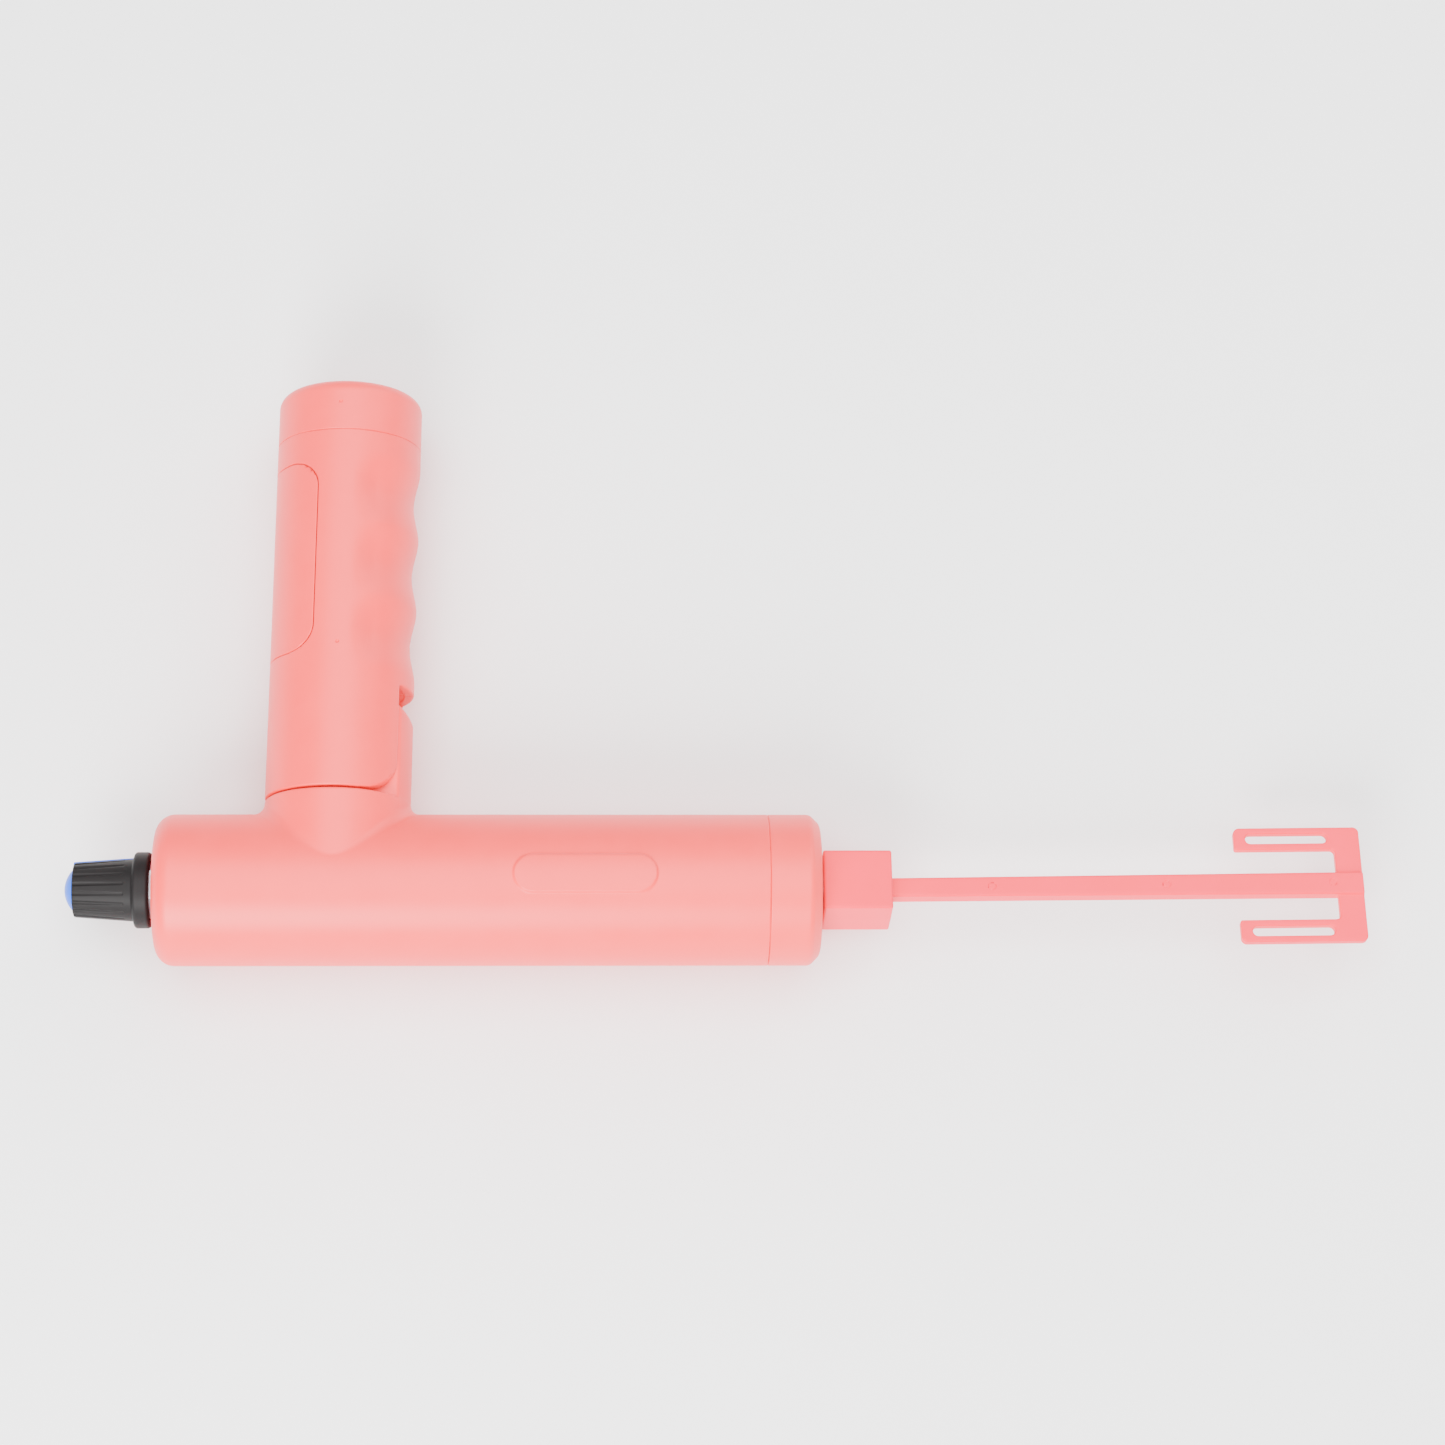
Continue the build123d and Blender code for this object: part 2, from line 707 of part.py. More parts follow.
with BuildPart() as fork_arm:
    with BuildSketch(fork_plane):
        with Locations((prong_tip_x, 0)):
            Rectangle(prong_length, head_width, align=(Align.MIN, Align.CENTER))
        fillet(vertices(), fork_corner)
        with Locations((prong_tip_x, 0)):
            Rectangle(
                prong_length - head_bar,
                head_width - 2 * prong_width,
                align=(Align.MIN, Align.CENTER),
                mode=Mode.SUBTRACT,
            )
        fillet(vertices().filter_by_position(Axis.X, head_back_x - slip, head_back_x + slip), fork_inner_corner)
    extrude(amount=plate_thickness / 2, both=True)
    with BuildSketch(fork_plane):
        with Locations((slot_x, slot_y), (slot_x, -slot_y)):
            SlotOverall(slot_length, slot_width)
    extrude(amount=plate_thickness, both=True, mode=Mode.SUBTRACT)
    # Stem, tapering to the head
    for x, width, thickness in (
        (block_end_x - block_edge, stem_width_at_block, stem_thickness_at_block),
        (fork_reach, stem_width_at_head, stem_thickness_at_head),
    ):
        with BuildSketch(fork_section(x)):
            Rectangle(width, thickness)
    loft()

with BuildPart() as winding_fork:
    # Block, drafted from its parting line on both sides
    for lean in (1, -1):
        with BuildSketch(fork_section(block_x)):
            with BuildLine():
                Polyline(
                    (-block_side / 2, 0),
                    (block_side / 2, 0),
                    (block_side / 2 - draft_loss, lean * block_side / 2),
                    (-block_side / 2 + draft_loss, lean * block_side / 2),
                    close=True,
                )
            make_face()
        extrude(amount=block_length)
    # Arm, leaning a little out of line with its block
    add(fork_arm.part.rotate(Axis((block_end_x - block_edge, 0, 0), fork_plane.z_dir), fork_lean))
    with BuildSketch(fork_section(block_x)):
        RegularPolygon(hub_flats / 2 + slip, 6, major_radius=False)
    extrude(amount=hub_length + hub_gap, mode=Mode.SUBTRACT)
save(winding_fork, "winding_fork")

# ---------------------------------------------------------------- speed control

with BuildPart() as pot_body:
    with BuildSketch(barrel_section(rear_x + rear_wall)):
        RectangleRounded(pot_width, pot_height, pot_corner)
    extrude(amount=pot_depth)
    with BuildSketch(barrel_section(rear_x + rear_wall)):
        Circle(pot_thread_radius)
    extrude(amount=-pot_thread_length)
    with BuildSketch(barrel_section(rear_x + rear_wall - pot_thread_length)):
        Circle(pot_shaft_radius + running)
    extrude(amount=pot_thread_length + pot_depth / 2, mode=Mode.SUBTRACT)
save(pot_body, "pot_body")

with BuildPart() as pot_washer:
    with BuildSketch(barrel_section(rear_x)):
        Circle(pot_washer_radius)
        Circle(pot_thread_radius + slip, mode=Mode.SUBTRACT)
    extrude(amount=-pot_washer_thickness)
save(pot_washer, "pot_washer")

with BuildPart() as pot_nut:
    with BuildSketch(barrel_section(rear_x - pot_washer_thickness)):
        RegularPolygon(pot_nut_flats / 2, 6, major_radius=False)
        Circle(pot_thread_radius, mode=Mode.SUBTRACT)
    extrude(amount=-pot_nut_thickness)
save(pot_nut, "pot_nut")

knob_back_x = rear_x - knob_gap
knob_tip_x = knob_back_x - knob_length
shaft_tip_x = knob_back_x - knob_bore_depth

with BuildPart() as pot_shaft:
    with BuildSketch(barrel_section(shaft_tip_x)):
        Circle(pot_shaft_radius)
    extrude(amount=rear_x + rear_wall + pot_depth / 2 - slip - shaft_tip_x)
save(pot_shaft, "pot_shaft")


def knob_radius(x):
    """Radius of the knob's tapering body at x."""
    share = (knob_back_x - knob_skirt_length - x) / (knob_length - knob_skirt_length)
    return knob_base_radius + (knob_tip_radius - knob_base_radius) * share


dome_radius = (knob_cap_radius**2 + knob_cap_dome**2) / (2 * knob_cap_dome)
dome_sweep = degrees(acos(1 - knob_cap_dome / dome_radius))

with BuildPart() as knob_cap:
    with BuildSketch(Plane.XY):
        with BuildLine():
            Line((knob_tip_x + knob_cap_depth, 0), (knob_tip_x + knob_cap_depth, knob_cap_radius))
            Line((knob_tip_x + knob_cap_depth, knob_cap_radius), (knob_tip_x, knob_cap_radius))
            CenterArc((knob_tip_x - knob_cap_dome + dome_radius, 0), dome_radius, 180 - dome_sweep, dome_sweep)
            Line((knob_tip_x - knob_cap_dome, 0), (knob_tip_x + knob_cap_depth, 0))
        make_face()
    revolve(axis=Axis.X)
    # Pointer stripe down the side
    with BuildSketch(Plane.XY):
        with BuildLine():
            Polyline(
                (knob_tip_x - pointer_proud, knob_cap_radius - pointer_depth),
                (knob_tip_x - pointer_proud, knob_radius(knob_tip_x) + pointer_proud / 2),
                (knob_tip_x + pointer_proud, knob_radius(knob_tip_x) + pointer_proud),
                (knob_back_x - knob_skirt_length, knob_base_radius + pointer_proud),
                (knob_back_x - knob_skirt_length, knob_base_radius - pointer_depth),
                (knob_tip_x + knob_cap_depth, knob_radius(knob_tip_x) - pointer_depth),
                (knob_tip_x + knob_cap_depth, knob_cap_radius - pointer_depth),
                close=True,
            )
        make_face()
    extrude(amount=pointer_width / 2, both=True)
save(knob_cap, "knob_cap")

flute_start = knob_tip_x - knob_flute_radius
flute_end = knob_tip_x + knob_flute_length
with BuildPart() as flute:
    with BuildSketch(barrel_section(flute_start)):
        with Locations((knob_radius(flute_start) + knob_flute_tip_share * knob_flute_radius, 0)):
            Circle(knob_flute_radius)
    with BuildSketch(barrel_section(flute_end)):
        with Locations((knob_radius(flute_end) + knob_flute_root_share * knob_flute_radius, 0)):
            Circle(knob_flute_radius)
    loft()

with BuildPart() as speed_knob:
    with BuildSketch(barrel_section(knob_back_x)):
        Circle(knob_skirt_radius)
    extrude(amount=-knob_skirt_length)
    fillet(speed_knob.faces().sort_by(Axis.X)[0].edges(), knob_skirt_round)
    with BuildSketch(Plane.XY):
        with BuildLine():
            Polyline(
                (knob_back_x - knob_skirt_length, 0),
                (knob_back_x - knob_skirt_length, knob_base_radius),
                (knob_tip_x, knob_tip_radius),
                (knob_tip_x, 0),
                close=True,
            )
        make_face()
    revolve(axis=Axis.X)
    chamfer(speed_knob.faces().sort_by(Axis.X)[0].edges(), knob_tip_chamfer)
    flutes = [flute.part.rotate(Axis.X, (number + 0.5) * 360 / knob_flutes) for number in range(knob_flutes)]
    add(flutes, mode=Mode.SUBTRACT)
    # Hollow skirt over the nut, and the bores for the bushing and shaft
    with BuildSketch(barrel_section(knob_back_x)):
        Circle(knob_hollow_radius)
    extrude(amount=-knob_hollow_depth, mode=Mode.SUBTRACT)
    with BuildSketch(barrel_section(knob_back_x)):
        Circle(pot_thread_radius + knob_thread_room)
    extrude(amount=-(pot_thread_length - rear_wall - knob_gap + knob_thread_room), mode=Mode.SUBTRACT)
    with BuildSketch(barrel_section(knob_back_x)):
        Circle(pot_shaft_radius)
    extrude(amount=-knob_bore_depth, mode=Mode.SUBTRACT)
    add(knob_cap.part, mode=Mode.SUBTRACT)
save(speed_knob, "speed_knob")

# ---------------------------------------------------------------- folding grip

grip_bore = grip_radius - grip_wall
panel_side = -sqrt(grip_radius**2 - panel_half_width**2)
panel_seat_radius = grip_radius - panel_thickness
panel_top = sleeve_top - panel_top_margin
grip_screw_heights = (panel_bottom + grip_screw_inset, panel_top - grip_screw_inset)
hinge_pin_half = sqrt(grip_radius**2 - (pivot_side + hinge_pin_radius) ** 2) - hinge_blind_cover


def panel_outline(margin):
    """Side outline of the palm panel, grown by a margin, open towards the back."""
    with BuildSketch(grip_profile) as outline:
        with Locations((-2 * grip_radius, panel_bottom - margin)):
            Rectangle(
                2 * grip_radius + panel_side + margin,
                panel_length + 2 * margin,
                align=(Align.MIN, Align.MIN),
            )
        fillet(vertices().group_by(Axis.X)[-1], panel_corner)
    return outline.sketch


# Cutter for the finger grooves: its axis lies behind the grip's, so the grooves fade out at the sides
with BuildPart() as finger_cutter:
    with BuildSketch(grip_profile):
        with BuildLine():
            swells = [
                (
                    grip_radius + finger_crest_gap - (finger_depth + finger_crest_gap) * (step % 2),
                    finger_lowest + (step - 1) * finger_pitch / 2,
                )
                for step in range(2 * finger_count + 1)
            ]
            Spline(*swells, tangents=[(0, 1)] * len(swells))
            Polyline(
                swells[-1],
                (swells[-1][0] + finger_cut_margin, swells[-1][1]),
                (swells[0][0] + finger_cut_margin, swells[0][1]),
                swells[0],
            )
        make_face()
    revolve(axis=Axis(grip_root - grip_front * finger_fade_offset, grip_up))

# Bosses of the hinge pin and of the screws, inside the tube
with BuildPart() as grip_bosses:
    with BuildSketch(grip_profile):
        with Locations((pivot_side, pivot_height)):
            Circle(hinge_boss_radius)
        with Locations(*((grip_screw_side, height) for height in grip_screw_heights)):
            Circle(screw_boss_radius)
    extrude(amount=grip_radius, both=True)
    with BuildSketch(grip_section(sleeve_bottom)):
        Circle(grip_bore + slip)
    extrude(amount=sleeve_length, mode=Mode.INTERSECT)

with BuildPart() as grip:
    with BuildSketch(grip_section(sleeve_bottom)):
        Circle(grip_radius)
    extrude(amount=sleeve_length)
    add(finger_cutter.part, mode=Mode.SUBTRACT)
    with BuildSketch(grip_section(sleeve_bottom)):
        Circle(grip_bore)
    extrude(amount=sleeve_length, mode=Mode.SUBTRACT)
    # Bulkhead above the window
    with BuildSketch(grip_section(window_top)):
        Circle(grip_bore + slip)
    extrude(amount=bulkhead)
    add(grip_bosses.part)
    # Window for the knuckle, and the rounded corners of the cheeks
    with BuildSketch(grip_profile):
        with Locations((0, sleeve_bottom - cut_margin)):
            Rectangle(2 * grip_radius, window_top - sleeve_bottom + cut_margin, align=(Align.MIN, Align.MIN))
        with Locations((pivot_side - hinge_boss_radius - cut_margin, sleeve_bottom - cut_margin)):
            Rectangle(2 * grip_radius, window_top - sleeve_bottom + cut_margin, align=(Align.MIN, Align.MIN))
    extrude(amount=cheek_half_gap, both=True, mode=Mode.SUBTRACT)
    with BuildSketch(grip_profile):
        with Locations((pivot_side, sleeve_bottom - cut_margin)):
            Rectangle(2 * grip_radius, pivot_height - sleeve_bottom + cut_margin, align=(Align.MIN, Align.MIN))
        with Locations((pivot_side, pivot_height)):
            Circle(cheek_swing, mode=Mode.SUBTRACT)
    extrude(amount=grip_radius, both=True, mode=Mode.SUBTRACT)
    # Blind bores for the hinge pin
    with BuildSketch(grip_profile):
        with Locations((pivot_side, pivot_height)):
            Circle(hinge_pin_radius)
    extrude(amount=hinge_pin_half, both=True, mode=Mode.SUBTRACT)
    # Seat of the palm panel
    with BuildSketch(grip_section(panel_bottom - panel_gap)):
        Circle(2 * grip_radius)
        Circle(panel_seat_radius, mode=Mode.SUBTRACT)
    panel_room = extrude(amount=panel_length + 2 * panel_gap, mode=Mode.PRIVATE)
    add(panel_room & extrude(panel_outline(panel_gap), grip_radius, both=True, mode=Mode.PRIVATE),
        mode=Mode.SUBTRACT)
    # Screw holes under the panel
    for height in grip_screw_heights:
        with BuildSketch(grip_profile.offset(screw_bite)):
            with Locations((grip_screw_side, height)):
                Circle(screw_radius)
        extrude(amount=-screw_bite - grip_radius, mode=Mode.SUBTRACT)
        with BuildSketch(grip_profile.offset(-grip_screw_seat)):
            with Locations((grip_screw_side, height)):
                Circle(screw_head_radius + screw_room)
        extrude(amount=-grip_radius, mode=Mode.SUBTRACT)

with BuildPart() as left_grip_shell:
    add(grip.part)
    split(bisect_by=Plane.XY, keep=Keep.TOP)
save(left_grip_shell, "left_grip_shell")

with BuildPart() as right_grip_shell:
    add(grip.part)
    split(bisect_by=Plane.XY, keep=Keep.BOTTOM)
save(right_grip_shell, "right_grip_shell")

with BuildPart() as palm_panel:
    with BuildSketch(grip_section(panel_bottom)):
        Circle(grip_radius)
        Circle(panel_seat_radius + slip, mode=Mode.SUBTRACT)
    extrude(amount=panel_length)
    panel_side_view = extrude(panel_outline(0), grip_radius, both=True, mode=Mode.PRIVATE)
    add(panel_side_view, mode=Mode.INTERSECT)
save(palm_panel, "palm_panel")

with BuildPart() as grip_screws:
    for height in grip_screw_heights:
        seat_origin = grip_profile.offset(-grip_screw_seat).from_local_coords(
            Vector(grip_screw_side, height, 0)
        )
        add(cap_screw(Plane(origin=seat_origin, z_dir=(0, 0, -1)), grip_screw_seat + screw_bite - screw_room))
save(grip_screws, "grip_screws")

with BuildPart() as grip_end_cap:
    with BuildSketch(grip_section(sleeve_top)):
        Circle(grip_radius)
    extrude(amount=end_cap_length)
    fillet(grip_end_cap.faces().sort_by(Axis.Y)[-1].edges(), end_cap_round)
    chamfer(grip_end_cap.faces().sort_by(Axis.Y)[0].edges(), seam_bevel)
    with BuildSketch(grip_section(sleeve_top + seam_bevel)):
        Circle(grip_bore - slip)
    extrude(amount=-end_cap_spigot - seam_bevel)
    with BuildSketch(grip_section(sleeve_top + end_cap_length - end_cap_wall)):
        Circle(grip_bore - slip - end_cap_wall)
    extrude(amount=-end_cap_length - end_cap_spigot, mode=Mode.SUBTRACT)
save(grip_end_cap, "grip_end_cap")

with BuildPart() as hinge_pin:
    with BuildSketch(grip_profile.offset(-hinge_pin_half)):
        with Locations((pivot_side, pivot_height)):
            Circle(hinge_pin_radius)
    extrude(amount=2 * hinge_pin_half)
    chamfer(hinge_pin.edges(), hinge_pin_chamfer)
save(hinge_pin, "hinge_pin")

with BuildPart() as hinge_bushing:
    with BuildSketch(grip_profile.offset(-knuckle_half)):
        with Locations((pivot_side, pivot_height)):
            Circle(hinge_pin_radius + running + hinge_bushing_wall)
            Circle(hinge_pin_radius + running, mode=Mode.SUBTRACT)
    extrude(amount=2 * knuckle_half)
save(hinge_bushing, "hinge_bushing")

with BuildPart() as hinge_washers:
    for face_offset in (knuckle_half + slip / 2, -knuckle_half - slip / 2 - washer_thickness):
        with BuildSketch(grip_profile.offset(face_offset)):
            with Locations((pivot_side, pivot_height)):
                Circle(washer_radius)
                Circle(hinge_pin_radius, mode=Mode.SUBTRACT)
        extrude(amount=washer_thickness)
save(hinge_washers, "hinge_washers")

# ---------------------------------------------------------------- chassis, cell and board

bay_front_x = motor_back_x - motor_end_length - terminal_height - chassis_end_wall
cell_tip_x = bay_front_x - contact_thickness
cell_back_x = cell_tip_x - cell_nose_height - cell_length
bay_back_x = cell_back_x - contact_thickness
chassis_back_x = rear_x + rear_wall + pot_depth + board_inset
chassis_radius = barrel_bore - chassis_gap
board_back_x = rear_x + rear_wall + board_inset
trough_cut = -barrel_radius / 3

with BuildPart() as chassis:
    with BuildSketch(barrel_section(chassis_back_x)):
        Circle(chassis_radius)
        Circle(chassis_radius - chassis_wall, mode=Mode.SUBTRACT)
        with Locations((0, trough_cut)):
            Rectangle(
                2 * barrel_radius, 2 * barrel_radius, align=(Align.CENTER, Align.MIN), mode=Mode.SUBTRACT
            )
    extrude(amount=bay_front_x + chassis_end_wall - chassis_back_x)
    # End walls and saddles of the cell bay
    for wall_x, hollow, wall_top in (
        (bay_front_x, 0, cell_radius / 2),
        (bay_back_x - chassis_end_wall, 0, cell_radius / 2),
        (bay_back_x + cell_radius, cell_radius + slip, trough_cut),
        (bay_front_x - cell_radius - chassis_end_wall, cell_radius + slip, trough_cut),
    ):
        with BuildSketch(barrel_section(wall_x)):
            Circle(chassis_radius)
            if hollow:
                Circle(hollow, mode=Mode.SUBTRACT)
            with Locations((0, wall_top)):
                Rectangle(
                    2 * barrel_radius, 2 * barrel_radius, align=(Align.CENTER, Align.MIN), mode=Mode.SUBTRACT
                )
        extrude(amount=chassis_end_wall)
    # Rails under the board
    with BuildSketch(barrel_section(chassis_back_x)):
        with Locations(((board_width - board_rail_width) / 2, 0), (-(board_width - board_rail_width) / 2, 0)):
            Rectangle(board_rail_width, 2 * barrel_radius)
        Circle(chassis_radius - chassis_wall / 2, mode=Mode.INTERSECT)
        with Locations((0, -board_drop - board_thickness)):
            Rectangle(
                2 * barrel_radius, 2 * barrel_radius, align=(Align.CENTER, Align.MIN), mode=Mode.SUBTRACT
            )
    extrude(amount=bay_back_x - chassis_back_x)
    # Window for the charging socket
    with BuildSketch(Plane.XY.offset(-barrel_radius)):
        with Locations((port_x, 0)):
            Rectangle(port_height + 2 * board_rail_width, port_width + board_rail_width)
    extrude(amount=barrel_radius / 2, mode=Mode.SUBTRACT)
save(chassis, "chassis")

with BuildPart() as battery_cell:
    with BuildSketch(barrel_section(cell_back_x)):
        Circle(cell_radius)
    extrude(amount=cell_length)
    fillet(battery_cell.edges().filter_by(GeomType.CIRCLE), cell_round)
    with BuildSketch(barrel_section(cell_back_x + cell_length)):
        Circle(cell_nose_radius)
    extrude(amount=cell_nose_height)
save(battery_cell, "battery_cell")

with BuildPart() as cell_contacts:
    for contact_x in (cell_tip_x, bay_back_x):
        with BuildSketch(barrel_section(contact_x)):
            with Locations((0, cell_radius / 2)):
                Rectangle(contact_side, contact_side, align=(Align.CENTER, Align.MAX))
        extrude(amount=contact_thickness)
save(cell_contacts, "cell_contacts")

with BuildPart() as control_board:
    with BuildSketch(Plane.XY.offset(-board_drop)):
        with Locations((board_back_x, 0)):
            Rectangle(board_length, board_width, align=(Align.MIN, Align.CENTER))
    extrude(amount=-board_thickness)
save(control_board, "control_board")

chips_x = board_back_x + board_length / 2 + chip_inset
with BuildPart() as board_components:
    for chip_y, length, width, height in chips:
        with BuildSketch(Plane.XY.offset(-board_drop)):
            with Locations((chips_x, chip_y)):
                RectangleRounded(length, width, chip_round)
        extrude(amount=height)
save(board_components, "board_components")

with BuildPart() as charge_socket:
    with BuildSketch(Plane.XY.offset(-board_drop - board_thickness)):
        with Locations((port_x, 0)):
            SlotOverall(port_width, port_height, rotation=90)
    extrude(amount=-port_length)
    with BuildSketch(Plane.XY.offset(-board_drop - board_thickness - port_length)):
        with Locations((port_x, 0)):
            SlotOverall(port_width - 2 * port_wall, port_height - 2 * port_wall, rotation=90)
    extrude(amount=port_length - port_floor, mode=Mode.SUBTRACT)
    with BuildSketch(Plane.XY.offset(-board_drop - board_thickness)):
        with Locations((port_x, 0)):
            Rectangle(port_tongue, port_width - port_tongue_margin)
    extrude(amount=-port_length + port_floor)
save(charge_socket, "charge_socket")

lead_x = motor_back_x - motor_end_length - terminal_height / 4
lead_drop_x = bay_back_x - chassis_end_wall - lead_clearance
with BuildPart() as motor_leads:
    for side_y in (1, -1):
        with BuildLine() as route:
            FilletPolyline(
                (lead_x, side_y * terminal_offset, terminal_width / 2),
                (lead_x, side_y * terminal_offset, lead_z),
                (lead_drop_x, side_y * terminal_offset, lead_z),
                (lead_drop_x, side_y * board_width / 3, lead_z / 2),
                (lead_drop_x, side_y * board_width / 3, -board_drop),
                radius=lead_bend,
            )
        with BuildSketch(Plane(origin=route.line @ 0, z_dir=route.line % 0)):
            Circle(lead_radius)
        sweep(path=route.line)
save(motor_leads, "motor_leads")
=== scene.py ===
import json
import math
import bpy
import numpy as np
from mathutils import Matrix, Vector


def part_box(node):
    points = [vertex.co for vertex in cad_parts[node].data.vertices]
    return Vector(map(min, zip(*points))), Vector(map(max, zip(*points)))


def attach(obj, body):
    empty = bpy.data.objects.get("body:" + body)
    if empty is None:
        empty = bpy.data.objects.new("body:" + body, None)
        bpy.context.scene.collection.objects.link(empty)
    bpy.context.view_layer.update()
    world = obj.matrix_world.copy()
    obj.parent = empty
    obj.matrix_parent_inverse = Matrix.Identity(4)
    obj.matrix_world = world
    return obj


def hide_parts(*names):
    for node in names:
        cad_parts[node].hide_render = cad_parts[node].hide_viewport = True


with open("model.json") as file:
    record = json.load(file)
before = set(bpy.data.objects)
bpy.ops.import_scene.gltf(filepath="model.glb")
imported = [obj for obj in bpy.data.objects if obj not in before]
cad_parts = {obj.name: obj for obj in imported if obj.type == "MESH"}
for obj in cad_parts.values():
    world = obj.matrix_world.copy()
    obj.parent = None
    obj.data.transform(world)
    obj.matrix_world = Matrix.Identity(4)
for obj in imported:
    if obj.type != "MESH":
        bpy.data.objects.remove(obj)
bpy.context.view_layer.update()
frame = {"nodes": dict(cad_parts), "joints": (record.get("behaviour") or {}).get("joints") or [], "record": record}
mm = 0.001
print("stage: frame loaded")


def span(node, axis):
    low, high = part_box(node)
    return low[axis] / mm, high[axis] / mm


# Places shared by several pieces, in millimetres, read from the frame
noseFront = span("nose_cap", 0)[1]
capSeam = span("nose_cap", 0)[0]
barrelRear = span("left_barrel_shell", 0)[0]
barrelRadius = span("nose_cap", 1)[1]
foldJoint = next(joint for joint in frame["joints"] if joint["name"] == "grip_fold")
pivotX, pivotY = foldJoint["pos_m"][0] / mm, foldJoint["pos_m"][1] / mm
floorHeight = -barrelRadius

# ---- solid shapes as distance fields: negative inside, millimetres


def both(a, b, r=0.0):  # intersection, its edge rounded
    if np.isscalar(r) and r == 0:
        return np.maximum(a, b)
    return np.minimum(-r, np.maximum(a, b)) + np.hypot(np.maximum(a + r, 0), np.maximum(b + r, 0))


def either(a, b, r=0.0):  # union, its inner corner filleted
    return -both(-a, -b, r)


def without(a, b, r=0.0):  # a less b, its edge rounded
    return both(a, -b, r)


def between(v, low, high):
    return np.abs(v - (low + high) / 2) - (high - low) / 2


def plate(u, v, box, r):  # rounded rectangle, box = (u0, u1, v0, v1)
    a = between(u, box[0], box[1]) + r
    b = between(v, box[2], box[3]) + r
    return np.hypot(np.maximum(a, 0), np.maximum(b, 0)) + np.minimum(np.maximum(a, b), 0) - r


def bar(u, v, centre, length, width):  # slot with round ends, along u
    return np.hypot(np.maximum(np.abs(u - centre[0]) - (length - width) / 2, 0), v - centre[1]) - width / 2


def smoothStep(v, low, high):
    s = np.clip((v - low) / (high - low), 0, 1)
    return s * s * (3 - 2 * s)


def gridLines(low, high, coarse, fine, marks, growth=0.4):
    places = [low]
    while places[-1] < high:
        nearest = min((abs(places[-1] - m) for m in marks), default=coarse)
        places.append(places[-1] + min(coarse, fine + growth * nearest))
    return np.array(places)


def fieldMesh(name, field, lines, place=None):
    # Surface net of the field's zero level, with its points and normals taken from the field itself
    xs, ys, zs = lines
    value = field(xs[:, None, None], ys[None, :, None], zs[None, None, :])
    value = np.broadcast_to(value, (len(xs), len(ys), len(zs)))
    inside = value < 0
    cells = tuple(len(axis) - 1 for axis in lines)
    total = np.zeros(cells + (3,), np.float32)
    count = np.zeros(cells, np.float32)
    crossings = []
    for axis in range(3):
        first = [slice(None)] * 3
        second = [slice(None)] * 3
        first[axis], second[axis] = slice(0, -1), slice(1, None)
        va, vb = value[tuple(first)], value[tuple(second)]
        crossed = inside[tuple(first)] != inside[tuple(second)]
        index = np.nonzero(crossed)
        a, b = va[index], vb[index]
        share = a / (a - b)
        point = np.stack([lines[k][index[k]] for k in range(3)], 1)
        step = lines[axis][index[axis] + 1] - lines[axis][index[axis]]
        point[:, axis] += share * step
        crossings.append((index, inside[tuple(first)][index]))
        others = [k for k in range(3) if k != axis]
        for da in (0, 1):
            for db in (0, 1):
                cell = [np.array(i) for i in index]
                cell[others[0]] = cell[others[0]] - da
                cell[others[1]] = cell[others[1]] - db
                ok = np.ones(len(cell[0]), bool)
                for k in others:
                    ok &= (cell[k] >= 0) & (cell[k] < cells[k])
                cell = tuple(c[ok] for c in cell)
                np.add.at(total, cell, point[ok].astype(np.float32))
                np.add.at(count, cell, 1)
    number = np.full(cells, -1, np.int64)
    used = np.nonzero(count > 0)
    number[used] = np.arange(len(used[0]))
    points = total[used].astype(float) / count[used][:, None]
    room = np.min([np.diff(lines[k])[used[k]] for k in range(3)], 0)

    def sample(p):
        return field(p[:, 0], p[:, 1], p[:, 2])

    def slope(p, h=0.004):
        g = np.empty_like(p)
        for k in range(3):
            d = np.zeros(3)
            d[k] = h
            g[:, k] = (sample(p + d) - sample(p - d)) / (2 * h)
        return g

    start = points.copy()
    for _ in range(5):
        g = slope(points)
        points = points - g * (sample(points) / np.maximum((g**2).sum(1), 0.05))[:, None]
        away = points - start
        far = np.linalg.norm(away, axis=1) / (0.9 * room)
        points = start + away / np.maximum(far, 1)[:, None]
    normals = slope(points)
    normals /= np.maximum(np.linalg.norm(normals, axis=1), 1e-6)[:, None]

    quads = []
    for axis in range(3):
        index, fromInside = crossings[axis]
        o1, o2 = [(1, 2), (2, 0), (0, 1)][axis]
        ok = (index[o1] > 0) & (index[o2] > 0) & (index[o1] < cells[o1]) & (index[o2] < cells[o2])
        corners = []
        for d1, d2 in ((1, 1), (0, 1), (0, 0), (1, 0)):
            cell = [np.array(i)[ok] for i in index]
            cell[o1] = cell[o1] - d1
            cell[o2] = cell[o2] - d2
            corners.append(number[tuple(cell)])
        quad = np.stack(corners, 1)
        flip = ~fromInside[ok]
        quad[flip] = quad[flip][:, ::-1]
        quads.append(quad)
    quads = np.concatenate(quads)
    mesh = bpy.data.meshes.new(name)
    mesh.from_pydata((points * mm).tolist(), [], quads.tolist())
    if place is not None:
        mesh.transform(place)
        normals = normals @ np.array(place.to_3x3()).T
    mesh.shade_smooth()
    mesh.normals_split_custom_set_from_vertices(normals.tolist())
    piece = bpy.data.objects.new(name, mesh)
    bpy.context.scene.collection.objects.link(piece)
    print("piece:", name, len(points), "points")
    return piece


def finish(piece, body, nodes, material):
    piece.data.materials.append(material)
    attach(piece, body)
    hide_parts(*nodes)

# ---- shader helpers


